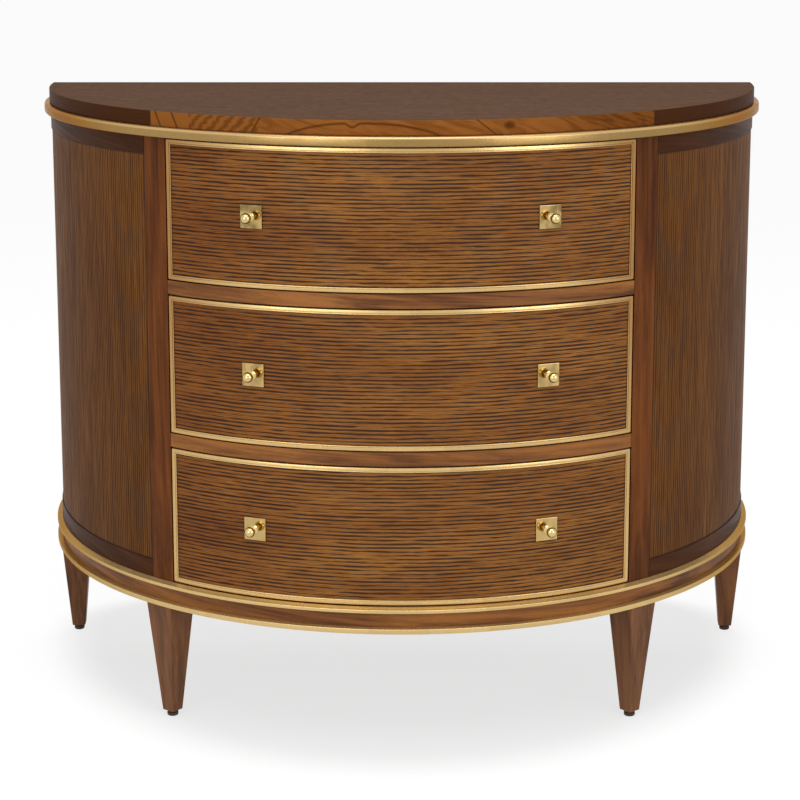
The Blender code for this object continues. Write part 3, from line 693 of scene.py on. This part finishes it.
def turned(profile, steps):
    """A turned solid about Z from a profile of radius and height, which starts and ends on the axis."""
    work = bmesh.new()
    turns = [2 * math.pi * step / steps for step in range(steps)]
    rings = [[work.verts.new((radius * math.cos(turn), radius * math.sin(turn), height)) for turn in turns]
             for radius, height in profile[1:-1]]
    for ring, other in zip(rings, rings[1:]):
        band(work, ring, other)
    for (radius, height), ring in ((profile[0], rings[0]), (profile[-1], rings[-1])):
        pole = work.verts.new((0.0, 0.0, height))
        for first, second in zip(ring, ring[1:] + ring[:1]):
            work.faces.new((pole, first, second))
    return to_mesh(work, SHARP_TURNED)


def turn_points(centre, radius, start, sweep, steps):
    """Points on an arc of a section, anticlockwise for a positive sweep. Angles are in degrees."""
    turns = [math.radians(start + sweep * step / steps) for step in range(steps + 1)]
    return [(centre[0] + radius * math.cos(turn), centre[1] + radius * math.sin(turn)) for turn in turns]


def ease(piece, width, segments=2):
    """Eases a piece's edges and keeps its faces flat."""
    bevel = piece.modifiers.new("eased_edges", "BEVEL")
    bevel.width = width
    bevel.segments = segments
    bevel.limit_method = "ANGLE"
    bevel.angle_limit = math.radians(EDGE_ANGLE)
    bevel.harden_normals = True
    bevel.use_clamp_overlap = True


def place(mesh, finish, slot, body, node, name=None):
    """Puts a fine piece into the scene, on its body, in place of its node."""
    mesh.name = name or f"fine_{node}"
    piece = bpy.data.objects.new(mesh.name, mesh)
    bpy.context.scene.collection.objects.link(piece)
    if not mesh.materials:
        mesh.materials.append(finishes().get(finish))
    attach(piece, body)
    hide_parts(node)
    return piece


def new_tree(name, sockets):
    """A Geometry Nodes tree with named inputs, its recipe, and its two end nodes."""
    tree = bpy.data.node_groups.new(name, "GeometryNodeTree")
    tree.interface.new_socket("Geometry", in_out="INPUT", socket_type="NodeSocketGeometry")
    tree.interface.new_socket("Geometry", in_out="OUTPUT", socket_type="NodeSocketGeometry")
    for label, kind in sockets.items():
        tree.interface.new_socket(label, in_out="INPUT", socket_type=f"NodeSocket{kind}")
    recipe = Recipe(tree)
    return recipe, recipe.add("NodeGroupInput").outputs, recipe.add("NodeGroupOutput")


def close_tree(recipe, geometry, material, end):
    """Every tree ends in real geometry with its material."""
    real = recipe.term("GeometryNodeRealizeInstances", {"Geometry": geometry})
    recipe.feed(end.inputs[0], recipe.term("GeometryNodeSetMaterial", {"Geometry": real, "Material": material}))
    return recipe


def run_tree(source, recipe, values):
    """Runs a tree on an object, with its inputs set by their identifiers, and gives back the plain mesh that
    comes out. The ends of a sweep are set into the back plane."""
    modifier = source.modifiers.new("shape", "NODES")
    modifier.node_group = recipe.tree
    for item in recipe.tree.interface.items_tree:
        if item.in_out == "INPUT" and item.name in values:
            modifier[item.identifier] = values[item.name]
    bpy.context.scene.collection.objects.link(source)
    depsgraph = bpy.context.evaluated_depsgraph_get()
    mesh = bpy.data.meshes.new_from_object(source.evaluated_get(depsgraph))
    bpy.data.objects.remove(source, do_unlink=True)
    work = bmesh.new()
    work.from_mesh(mesh)
    for vertex in work.verts:
        if abs(AXIS_Y - vertex.co.y) < END_PLAY:
            vertex.co.y = AXIS_Y
    bmesh.ops.recalc_face_normals(work, faces=work.faces)
    work.to_mesh(mesh)
    work.free()
    return mesh


def bent_moulding_tree():
    """Sweeps a section, drawn as a curve of distance and height, round the front of the chest."""
    recipe, given, end = new_tree("bent_moulding", {"Steps": "Int", "Radius": "Float", "Level": "Float",
                                                    "Material": "Material"})
    path = recipe.term("GeometryNodeCurveArc", {"Resolution": given["Steps"], "Radius": given["Radius"],
                                                "Start Angle": math.pi, "Sweep Angle": math.pi}, mode="RADIUS")
    placed = recipe.term("GeometryNodeTransform", {"Geometry": path,
                                                   "Translation": recipe.vector(0.0, AXIS_Y, given["Level"])})
    swept = recipe.term("GeometryNodeCurveToMesh", {"Curve": placed, "Profile Curve": given["Geometry"],
                                                    "Fill Caps": True})
    return close_tree(recipe, swept, given["Material"], end)


def brushed_grain_tree(upright):
    """Presses the brushed lines into the face of a veneered plate, along the way in which its grain runs."""
    recipe, given, end = new_tree("brushed_grain", {"Pitch": "Float", "Run": "Float", "Seed": "Float",
                                                    "Depth": "Float", "Material": "Material"})
    position = recipe.term("GeometryNodeInputPosition")
    around, up, distance = bow_place(recipe, position)
    along, across = (up, around) if upright else (around, up)
    lines = brushed_lines(recipe, along, across, given["Pitch"], given["Run"], given["Seed"])
    face = recipe.term("GeometryNodeInputNamedAttribute", {"Name": "brushed"}, data_type="FLOAT")
    x, y, z = recipe.split(position)
    inward = lines * face * given["Depth"] / distance
    offset = recipe.vector(x * (inward * -1.0), (AXIS_Y - y) * inward, 0.0)
    moved = recipe.term("GeometryNodeSetPosition", {"Geometry": given["Geometry"], "Offset": offset})
    return close_tree(recipe, moved, given["Material"], end)


def section_curve(name, points):
    """A closed section as a flat curve, distance from the path first and height second. The sweep turns it over,
    so its heights are entered downwards."""
    curve = bpy.data.curves.new(name, "CURVE")
    curve.dimensions = "2D"
    curve.fill_mode = "NONE"
    spline = curve.splines.new("POLY")
    spline.points.add(len(points) - 1)
    for point, (distance, height) in zip(spline.points, reversed(points)):
        point.co = (distance, -height, 0.0, 1.0)
    spline.use_cyclic_u = True
    return bpy.data.objects.new(name, curve)


def brushed_plate(columns, rows, outer, inner, straight_ends):
    """A closed bowed plate whose front is a fine grid, marked for the brushed lines. Columns are angles. Straight
    ends run straight back and not towards the axis."""
    work = bmesh.new()
    mark = work.verts.layers.float.new("brushed")
    ends = (0, len(columns) - 1)
    front = [[work.verts.new((*on_bow(outer, angle), level)) for level in rows] for angle in columns]
    back = []
    for index, angle in enumerate(columns):
        x, y = on_bow(inner, angle)
        if index in ends and straight_ends:
            x = front[index][0].co.x
            y = bow_y(inner, x)
        back.append([work.verts.new((x, y, level)) for level in (rows[0], rows[-1])])
    for index, line in enumerate(front):
        for vertex in line[1:-1]:
            vertex[mark] = 0.0 if index in ends else 1.0
    for index in range(len(columns) - 1):
        left, right = front[index], front[index + 1]
        back_left, back_right = back[index], back[index + 1]
        for step in range(len(rows) - 1):
            work.faces.new((left[step], right[step], right[step + 1], left[step + 1]))
        work.faces.new((back_left[0], back_left[1], back_right[1], back_right[0]))
        work.faces.new((left[0], back_left[0], back_right[0], right[0]))
        work.faces.new((left[-1], right[-1], back_right[1], back_left[1]))
    for index in ends:
        work.faces.new(front[index] + [back[index][1], back[index][0]])
    return to_mesh(work)


def press_grain(mesh, finish, upright, pitch, run):
    """Runs the brushed grain tree over a plate."""
    values = {"Pitch": pitch, "Run": run, "Seed": settings().grain_seed, "Depth": settings().grain_depth,
              "Material": finishes().get(finish)}
    return run_tree(bpy.data.objects.new("plate", mesh), brushed_grain_tree(upright), values)


class CHEST_OT_top_board(bpy.types.Operator):
    """Half-round top board with a lipped edge"""

    bl_idname = "chest.top_board"
    bl_label = "Top board"

    def execute(self, context):
        mesh = board("top_board", arc(TOP_RADIUS, -BACK_ANGLE, BACK_ANGLE))
        for finish in ("top_veneer", "top_edge"):
            mesh.materials.append(finishes().get(finish))
        for face in mesh.polygons:
            face.material_index = 0 if abs(face.normal.z) > 0.5 else 1
        ease(place(mesh, "top_veneer", "dark_top_wood", "case", "top_board"), settings().top_arris, 3)
        return {"FINISHED"}


class CHEST_OT_gilt_mouldings(bpy.types.Operator):
    """Moulding under the top and the two beads on the base"""

    bl_idname = "chest.gilt_mouldings"
    bl_label = "Gilt mouldings"

    def section(self, node, inner, lower, upper, slope, steps):
        """A section with a round lower and upper edge. Its top slopes up to the inner edge."""
        height = high(node).z - low(node).z
        points = [(inner, 0.0)] + turn_points((-lower, lower), lower, -90.0, 90.0, steps[0])
        points += turn_points((-upper, height - slope - upper), upper, 0.0, 90.0, steps[1])
        return points + [(inner, height)]

    def execute(self, context):
        sizes = settings()
        recipe = bent_moulding_tree()
        rounding = sizes.bead_round
        bead_inner = CASE_RADIUS + sizes.seat_gap - BEAD_RADIUS
        jobs = (
            ("top_moulding", MOULDING_RADIUS, "gold_of_moulding",
             (-sizes.moulding_depth, sizes.moulding_chamfer, sizes.moulding_round, 0.0, (6, 8))),
            ("base_bead_upper", BEAD_RADIUS, "gold_leaf",
             (bead_inner, rounding, rounding, sizes.upper_bead_slope, (3, 3))),
            ("base_bead_lower", BEAD_RADIUS, "gold_leaf",
             (bead_inner, rounding, rounding, sizes.lower_bead_slope, (3, 3))),
        )
        for node, radius, finish, section in jobs:
            source = section_curve(f"section_{node}", self.section(node, *section))
            mesh = run_tree(source, recipe, {"Steps": sizes.arc_steps, "Radius": radius, "Level": low(node).z,
                                             "Material": finishes().get(finish)})
            smooth(mesh, SHARP_SWEPT)
            place(mesh, finish, "gold_leaf", "case", node)
        return {"FINISHED"}


class CHEST_OT_side_frames(bpy.types.Operator):
    """Stiles and curved rails of both sides"""

    bl_idname = "chest.side_frames"
    bl_label = "Stiles and side rails"

    def rail_plan(self):
        """Plan of the right side's rails, from the front stile to the back stile."""
        start_x, end_y = STILE_OUTER_X + settings().seat_gap, high("side_panel_right").y
        outer, inner = CASE_RADIUS, CASE_RADIUS - settings().rail_depth
        front = arc(outer, angle_at_x(outer, start_x), angle_at_y(outer, end_y))
        return front + arc(inner, angle_at_y(inner, end_y), angle_at_x(inner, start_x))

    def execute(self, context):
        stile = arc(CASE_RADIUS, angle_at_x(CASE_RADIUS, STILE_INNER_X), angle_at_x(CASE_RADIUS, STILE_OUTER_X))
        stile += [(STILE_OUTER_X, STILE_BACK_Y), (STILE_INNER_X, STILE_BACK_Y)]
        back_stile = arc(CASE_RADIUS, angle_at_y(CASE_RADIUS, BACK_STILE_FRONT_Y), BACK_ANGLE)
        back_stile += [(BACK_STILE_X, AXIS_Y), (BACK_STILE_X, BACK_STILE_FRONT_Y)]
        kinds = (
            ("front_stile", stile, "walnut_upright"),
            ("back_stile", back_stile, "walnut_upright"),
            ("side_top_rail", self.rail_plan(), "dark_rail"),
            ("side_bottom_rail", self.rail_plan(), "dark_rail"),
        )
        for kind, outline, finish in kinds:
            for word, side in SIDES.items():
                node = f"{kind}_{word}"
                piece = place(board(node, mirrored(outline, side)), finish, "reddish_walnut", "case", node)
                ease(piece, settings().arris)
        return {"FINISHED"}


class CHEST_OT_side_panels(bpy.types.Operator):
    """Curved side panels with upright brushed lines"""

    bl_idname = "chest.side_panels"
    bl_label = "Side panels"

    def execute(self, context):
        sizes = settings()
        start = angle_at_x(PANEL_RADIUS, STILE_OUTER_X + sizes.seat_gap)
        end = angle_at_y(PANEL_RADIUS, high("side_panel_right").y)
        for word, side in SIDES.items():
            node = f"side_panel_{word}"
            columns = even_steps(side * start, side * end, PANEL_COLUMN / PANEL_RADIUS)
            rows = even_steps(low(node).z, high(node).z, PANEL_ROW)
            mesh = brushed_plate(columns, rows, PANEL_RADIUS, PANEL_RADIUS - sizes.panel_thickness, False)
            mesh = press_grain(mesh, "striped_panel", True, sizes.panel_pitch, PANEL_RUN * sizes.grain_run)
            place(mesh, "striped_panel", "striped_veneer", "case", node)
        return {"FINISHED"}


class CHEST_OT_shelves_and_base(bpy.types.Operator):
    """Bowed shelves between the drawers and the base frame"""

    bl_idname = "chest.shelves_and_base"
    bl_label = "Shelves and base"

    def base_mesh(self):
        """A half-round wall with a straight one at its back, open in the middle."""
        wall = settings().base_wall
        inner = CASE_RADIUS - wall
        end = angle_at_y(inner, AXIS_Y - wall)
        work = bmesh.new()
        loops = []
        for level in (low("base_frame").z, high("base_frame").z):
            for plan in (arc(CASE_RADIUS, -BACK_ANGLE, BACK_ANGLE), arc(inner, -end, end)):
                loops.append([work.verts.new((x, y, level)) for x, y in plan])
        for pair in (loops[:2], loops[2:]):
            edges = [work.edges.new(ends) for loop in pair for ends in zip(loop, loop[1:] + loop[:1])]
            bmesh.ops.triangle_fill(work, edges=edges, use_beauty=True, use_dissolve=False)
        band(work, loops[0], loops[2])
        band(work, loops[1], loops[3])
        return to_mesh(work)

    def execute(self, context):
        meshes = {}
        for node in ("divider_shelf_lower", "divider_shelf_upper"):
            half, back = high(node).x, high(node).y
            meshes[node] = board(node, bow_front(CASE_RADIUS, half) + [(half, back), (-half, back)])
        meshes["base_frame"] = self.base_mesh()
        for node, mesh in meshes.items():
            ease(place(mesh, "walnut_round", "reddish_walnut", "case", node), settings().arris)
        return {"FINISHED"}


class CHEST_OT_legs(bpy.types.Operator):
    """Tapered legs with their tenons, and the glides under them"""

    bl_idname = "chest.legs"
    bl_label = "Legs and glides"

    def block(self, work, centre, sides, levels, angle):
        """Adds a four-sided block, turned to the angle at which it stands, to a bmesh."""
        rings = []
        for side, level in zip(sides, levels):
            spin = Matrix.Translation((centre.x, centre.y, level)) @ Matrix.Rotation(angle, 4, "Z")
            corners = ((-0.5, -0.5), (0.5, -0.5), (0.5, 0.5), (-0.5, 0.5))
            rings.append([spin @ Vector((x * side, y * side, 0.0)) for x, y in corners])
        solid(work, *rings)

    def glide(self, node, centre):
        radius, height = (high(node).x - low(node).x) / 2, high(node).z
        mesh = turned([(radius * aside, height * up) for aside, up in GLIDE_PROFILE], GLIDE_SIDES)
        mesh.transform(Matrix.Translation((centre.x, centre.y, 0.0)))
        place(mesh, "dark_glide", "dark_glide", "case", node)

    def execute(self, context):
        sizes = settings()
        leg_top = low("base_frame").z - sizes.seat_gap
        for word in [f"{end}_{side}" for end in ("front", "back") for side in SIDES]:
            leg, glide = f"leg_{word}", f"glide_{word}"
            centre = middle(glide)
            angle = bow_angle(centre)
            inward = Vector((-math.sin(angle), math.cos(angle), 0.0))
            work = bmesh.new()
            self.block(work, centre, (sizes.leg_foot, sizes.leg_top), (low(leg).z, leg_top), angle)
            self.block(work, centre + inward * sizes.tenon_shift, (sizes.tenon_side, sizes.tenon_side),
                       (leg_top - sizes.tenon_root, high(leg).z), angle)
            ease(place(to_mesh(work), "walnut_leg", "reddish_walnut", "case", leg), sizes.leg_arris, 3)
            self.glide(glide, centre)
        return {"FINISHED"}


class CHEST_OT_drawer_fronts(bpy.types.Operator):
    """Ground and brushed field of each drawer front"""

    bl_idname = "chest.drawer_fronts"
    bl_label = "Drawer fronts"

    def execute(self, context):
        sizes = settings()
        ground_radius = CASE_RADIUS - sizes.frame_depth - sizes.seat_gap
        ground_back = bow_front(FIELD_RADIUS - sizes.front_thickness, DRAWER_HALF_WIDTH)
        outline = bow_front(ground_radius, DRAWER_HALF_WIDTH) + ground_back[::-1]
        border = sizes.frame_width + sizes.seat_gap
        end = angle_at_x(FIELD_RADIUS, DRAWER_HALF_WIDTH - border)
        columns = even_steps(-end, end, FIELD_COLUMN / FIELD_RADIUS)
        for number in DRAWERS:
            body, node = f"drawer_{number}", f"drawer_{number}_front"
            ground = board(node, outline)
            ease(place(ground, "walnut_round", "brushed_veneer", body, node, f"fine_{body}_ground"), sizes.arris)
            rows = even_steps(low(node).z + border, high(node).z - border, FIELD_ROW)
            mesh = brushed_plate(columns, rows, FIELD_RADIUS, ground_radius + sizes.seat_gap / 3, True)
            mesh = press_grain(mesh, "brushed_field", False, sizes.grain_pitch, sizes.grain_run)
            place(mesh, "brushed_field", "brushed_veneer", body, node, f"fine_{body}_field")
        return {"FINISHED"}


class CHEST_OT_gilt_frames(bpy.types.Operator):
    """Gilt frame round each drawer front, mitred at its corners"""

    bl_idname = "chest.gilt_frames"
    bl_label = "Gilt frames"

    def section(self, sizes):
        """Inset from the frame's outer edge, and depth behind its face, all round the section: an eased outer
        edge, a flat face, a quirk and a round bead."""
        width, depth, edge = sizes.frame_width, sizes.frame_depth, sizes.arris
        radius = sizes.frame_bead / 2
        flat_end = width - 2 * radius
        points = [(0.0, depth), (0.0, edge), (edge * 0.3, edge * 0.3), (edge, 0.0)]
        points += [(flat_end - 0.0005, 0.0), (flat_end - 0.0002, 0.0004), (flat_end, QUIRK)]
        for step in range(7):
            turn = math.pi * (1.0 - step / 6)
            points.append((width - radius + radius * math.cos(turn), QUIRK - BEAD_RISE * math.sin(turn)))
        return points + [(width, 2 * QUIRK), (width, depth)]

    def stations(self, right, bottom, top, corner):
        """Points round a rectangle with small round corners, as many for any inset."""
        left, right, bottom, top = corner - right, right - corner, bottom + corner, top - corner
        middles = ((right, bottom, -90.0), (right, top, 0.0), (left, top, 90.0), (left, bottom, 180.0))
        corners = [turn_points((x, z), corner, start, 90.0, 4) for x, z, start in middles]
        points = []
        for index, count in enumerate((6, 96, 6, 96)):
            here, goal = corners[index][-1], corners[(index + 1) % 4][0]
            points += corners[index]
            for share in [step / count for step in range(1, count)]:
                points.append((here[0] + (goal[0] - here[0]) * share, here[1] + (goal[1] - here[1]) * share))
        return points

    def execute(self, context):
        sizes = settings()
        for number in DRAWERS:
            node = f"drawer_{number}_gilt_frame"
            work = bmesh.new()
            rings = []
            for inset, depth in self.section(sizes):
                points = self.stations(DRAWER_HALF_WIDTH - inset, low(node).z + inset, high(node).z - inset,
                                       max(sizes.frame_corner - inset, LEAST_CORNER))
                rings.append([work.verts.new((x, bow_y(CASE_RADIUS - depth, x), z)) for x, z in points])
            for ring, other in zip(rings, rings[1:] + rings[:1]):
                band(work, ring, other)
            place(to_mesh(work, SHARP_FRAME), "gold_of_frames", "gold_leaf", f"drawer_{number}", node)
        return {"FINISHED"}


class CHEST_OT_knobs(bpy.types.Operator):
    """Ball knobs and the square plates behind them"""

    bl_idname = "chest.knobs"
    bl_label = "Knobs and plates"

    def profile(self, sizes, ball_distance):
        """Half section of a knob: ball, neck with its collar, and a foot that widens towards the seat."""
        ball, neck = sizes.ball / 2, sizes.knob_neck / 2
        foot, collar = sizes.knob_foot / 2, sizes.knob_collar / 2
        last = math.pi - math.asin(neck / ball)
        turns = [last * step / BALL_STEPS for step in range(BALL_STEPS + 1)]
        points = [(ball * math.sin(turn), ball_distance + ball * math.cos(turn)) for turn in turns]
        collar_level = points[-1][1] - COLLAR_DROP
        foot_top = collar_level - FOOT_DROP
        shares = [step / SMALL_STEPS for step in range(SMALL_STEPS + 1)]
        for turn in [math.pi * (0.5 - share) for share in shares]:
            points.append((neck + (collar - neck) * math.cos(turn), collar_level + COLLAR_RISE * math.sin(turn)))
        for share in shares:
            points.append((neck + (foot - neck) * share ** 2.2, foot_top + (FOOT_HEIGHT - foot_top) * share))
        return points + [(foot, FOOT_RIM), (foot - 0.0002, 0.0002), (foot - 0.0006, 0.0), (0.0, 0.0)]

    def reach(self, knob, seat, out):
        """How far the ball's middle stands off the seat: it lies a ball's radius inside the knob's box."""
        ball = settings().ball / 2
        outer_x = high(knob).x if out.x > 0 else low(knob).x
        centre = Vector((outer_x - math.copysign(ball, out.x), low(knob).y + ball, seat.z))
        return (centre - seat).dot(out)

    def plate_mesh(self, side, sizes):
        work = bmesh.new()
        bmesh.ops.create_cube(work, size=1.0)
        bmesh.ops.scale(work, verts=work.verts, vec=(side, sizes.plate_thickness, side))
        bmesh.ops.bevel(work, geom=work.edges, offset=sizes.plate_arris, segments=3, affect="EDGES", profile=0.5)
        return to_mesh(work, SHARP_PLATE)

    def execute(self, context):
        sizes = settings()
        for body, word in [(f"drawer_{number}", word) for number in DRAWERS for word in SIDES]:
            knob, plate = f"{body}_knob_{word}", f"{body}_backplate_{word}"
            centre = middle(plate)
            turn = Matrix.Rotation(bow_angle(centre), 4, "Z")
            out = turn.to_3x3() @ Vector((0.0, -1.0, 0.0))
            mesh = self.plate_mesh(high(plate).z - low(plate).z, sizes)
            mesh.transform(Matrix.Translation(centre) @ turn)
            place(mesh, "old_brass", "polished_brass", body, plate)
            seat = centre + out * (sizes.plate_thickness / 2 + sizes.seat_gap)
            mesh = turned(self.profile(sizes, self.reach(knob, seat, out)), KNOB_SIDES)
            mesh.transform(turn @ Matrix.Rotation(math.radians(90.0), 4, "X"))
            mesh.transform(Matrix.Translation(seat))
            place(mesh, "polished_brass", "polished_brass", body, knob)
        return {"FINISHED"}


def eased_copy(node, finish, slot, body):
    """A fine copy of a flat-sided node: its triangles are merged into faces and its edges are eased."""
    work = bmesh.new()
    work.from_mesh(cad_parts[node].data)
    bmesh.ops.remove_doubles(work, verts=work.verts, dist=MERGE)
    bmesh.ops.dissolve_limit(work, angle_limit=math.radians(0.5), verts=work.verts, edges=work.edges)
    ease(place(to_mesh(work, SHARP_COPY), finish, slot, body, node), settings().arris)


class CHEST_OT_drawer_boxes(bpy.types.Operator):
    """Sides, back and bottom of each drawer box"""

    bl_idname = "chest.drawer_boxes"
    bl_label = "Drawer boxes"

    def execute(self, context):
        kinds = {"side_left": "lining", "side_right": "lining", "back": "lining_across", "bottom": "lining_across"}
        for number in DRAWERS:
            for kind, finish in kinds.items():
                eased_copy(f"drawer_{number}_{kind}", finish, "drawer_lining_wood", f"drawer_{number}")
        return {"FINISHED"}


class CHEST_OT_carcass(bpy.types.Operator):
    """Hidden boards of the case"""

    bl_idname = "chest.carcass"
    bl_label = "Carcass boards"

    def execute(self, context):
        for node in ("sub_top", "back_panel", "partition_left", "partition_right", "bottom_board"):
            finish = "carcass_upright" if node == "back_panel" else "carcass"
            eased_copy(node, finish, "carcass_wood", "case")
        return {"FINISHED"}


class CHEST_OT_stage(bpy.types.Operator):
    """Camera, floor, background and lamps"""

    bl_idname = "chest.stage"
    bl_label = "Stage"

    def execute(self, context):
        stage = context.scene.chest_stage
        self.make_camera(context, stage)
        self.make_floor(context, stage)
        self.make_world(context, stage)
        for name, spot, size, power in LAMPS:
            self.make_lamp(context, name, spot, size, getattr(stage, power))
        context.scene.view_settings.view_transform = "Standard"
        return {"FINISHED"}

    def make_camera(self, context, stage):
        lens = bpy.data.cameras.new("camera")
        lens.sensor_width = 36.0
        lens.lens = stage.focal_pixels * lens.sensor_width / PHOTO_SIDE
        lens.shift_y = (stage.principal_row - PHOTO_SIDE / 2) / PHOTO_SIDE
        camera = bpy.data.objects.new("camera", lens)
        tilt, yaw, roll = stage.camera_tilt, stage.camera_yaw, stage.camera_roll
        ahead = Vector((math.sin(yaw) * math.cos(tilt), math.cos(yaw) * math.cos(tilt), -math.sin(tilt)))
        right = Vector((math.cos(yaw), -math.sin(yaw), 0.0))
        up = right.cross(ahead)
        turned_right = math.cos(roll) * right + math.sin(roll) * up
        turned_up = math.cos(roll) * up - math.sin(roll) * right
        facing = Matrix((turned_right, turned_up, -ahead)).transposed().to_4x4()
        camera.matrix_world = Matrix.Translation(stage.camera_place) @ facing
        context.scene.collection.objects.link(camera)
        context.scene.camera = camera

    def make_floor(self, context, stage):
        """A wide floor whose visible colour grows to white away from the chest, faster behind it; its dimmer glow
        round the chest is a painted shadow.
        """
        work = bmesh.new()
        bmesh.ops.create_grid(work, x_segments=1, y_segments=1, size=FLOOR_REACH)
        mesh = bpy.data.meshes.new("floor")
        work.to_mesh(mesh)
        work.free()
        floor = bpy.data.objects.new("floor", mesh)
        context.scene.collection.objects.link(floor)
        finish = bpy.data.materials.new("pale_floor")
        finish.use_nodes = True
        recipe = Recipe(finish.node_tree)
        recipe.tree.nodes.clear()
        white = context.scene.chest_colours.floor
        shown = recipe.mix(seen(recipe), shade(white, stage.floor_shade), shade(white, stage.floor_seen))
        paint = recipe.term("ShaderNodeBsdfDiffuse", {"Color": shown})
        x, y, z = recipe.split(recipe.term("ShaderNodeTexCoord", outlet="Object"))
        aside, ahead = x * 1.12, AXIS_Y - y
        ahead = recipe.most(ahead, ahead * -3.0)
        away = recipe.math("SQRT", aside * aside + ahead * ahead)
        # painted shadow: near the chest the visible floor glows less, squashed behind it
        glow_with_painted_shadow = recipe.span(away, stage.glow_start, stage.glow_end, stage.floor_glow, stage.open_glow)
        glow = recipe.term("ShaderNodeEmission", {"Color": colour4(white), "Strength": seen(recipe) * glow_with_painted_shadow})
        both = recipe.term("ShaderNodeAddShader", {0: paint, 1: glow})
        recipe.add("ShaderNodeOutputMaterial", {"Surface": both})
        mesh.materials.append(finish)

    def make_world(self, context, stage):
        world = bpy.data.worlds.new("studio")
        world.use_nodes = True
        context.scene.world = world
        recipe = Recipe(world.node_tree)
        recipe.tree.nodes.clear()
        strength = recipe.span(seen(recipe), 0.0, 1.0, stage.sky_light, 1.0, "LINEAR")
        sky = recipe.term("ShaderNodeBackground", {"Color": (1.0, 1.0, 1.0, 1.0), "Strength": strength})
        recipe.add("ShaderNodeOutputWorld", {"Surface": sky})

    def make_lamp(self, context, name, spot, size, power):
        lamp = bpy.data.lights.new(name, "AREA")
        lamp.shape = "RECTANGLE"
        lamp.size, lamp.size_y = size
        lamp.energy = power
        holder = bpy.data.objects.new(name, lamp)
        holder.location = spot
        holder.rotation_mode = "QUATERNION"
        holder.rotation_quaternion = (LAMP_TARGET - Vector(spot)).to_track_quat("-Z", "Y")
        holder.visible_camera = False
        context.scene.collection.objects.link(holder)


def seen(recipe):
    """1 for rays that look at the background, straight or in metal or glass, and 0 for rays that light."""
    path = recipe.add("ShaderNodeLightPath").outputs
    either = recipe.math("ADD", path["Is Camera Ray"], path["Is Glossy Ray"])
    return recipe.math("ADD", either, path["Is Transmission Ray"], clamp=True)


class CHEST_PT_sidebar(bpy.types.Panel):
    """Lists the chest's operators and settings"""

    bl_label = "Demilune Chest"
    bl_idname = "CHEST_PT_sidebar"
    bl_space_type = "VIEW_3D"
    bl_region_type = "UI"
    bl_category = "Chest"

    def draw(self, context):
        for operator in OPERATORS:
            self.layout.operator(operator.bl_idname)
        for group_name in GROUPS:
            box = self.layout.box()
            group = getattr(context.scene, group_name)
            for name in group.bl_rna.properties.keys():
                if name not in ("rna_type", "name"):
                    box.prop(group, name)


GROUPS = {"chest_sizes": ChestSizes, "chest_colours": ChestColours, "chest_stage": ChestStage}
OPERATORS = (
    CHEST_OT_stage,
    CHEST_OT_top_board,
    CHEST_OT_gilt_mouldings,
    CHEST_OT_side_frames,
    CHEST_OT_side_panels,
    CHEST_OT_shelves_and_base,
    CHEST_OT_legs,
    CHEST_OT_drawer_fronts,
    CHEST_OT_gilt_frames,
    CHEST_OT_knobs,
    CHEST_OT_drawer_boxes,
    CHEST_OT_carcass,
)
CLASSES = tuple(GROUPS.values()) + OPERATORS + (CHEST_PT_sidebar,)


def register():
    for item in CLASSES:
        bpy.utils.register_class(item)
    for name, group in GROUPS.items():
        setattr(bpy.types.Scene, name, PointerProperty(type=group))


def unregister():
    for name in GROUPS:
        delattr(bpy.types.Scene, name)
    for item in reversed(CLASSES):
        bpy.utils.unregister_class(item)


def main():
    register()
    for operator in OPERATORS:
        area, name = operator.bl_idname.split(".")
        getattr(getattr(bpy.ops, area), name)()
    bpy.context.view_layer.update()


if __name__ == "__main__":
    main()
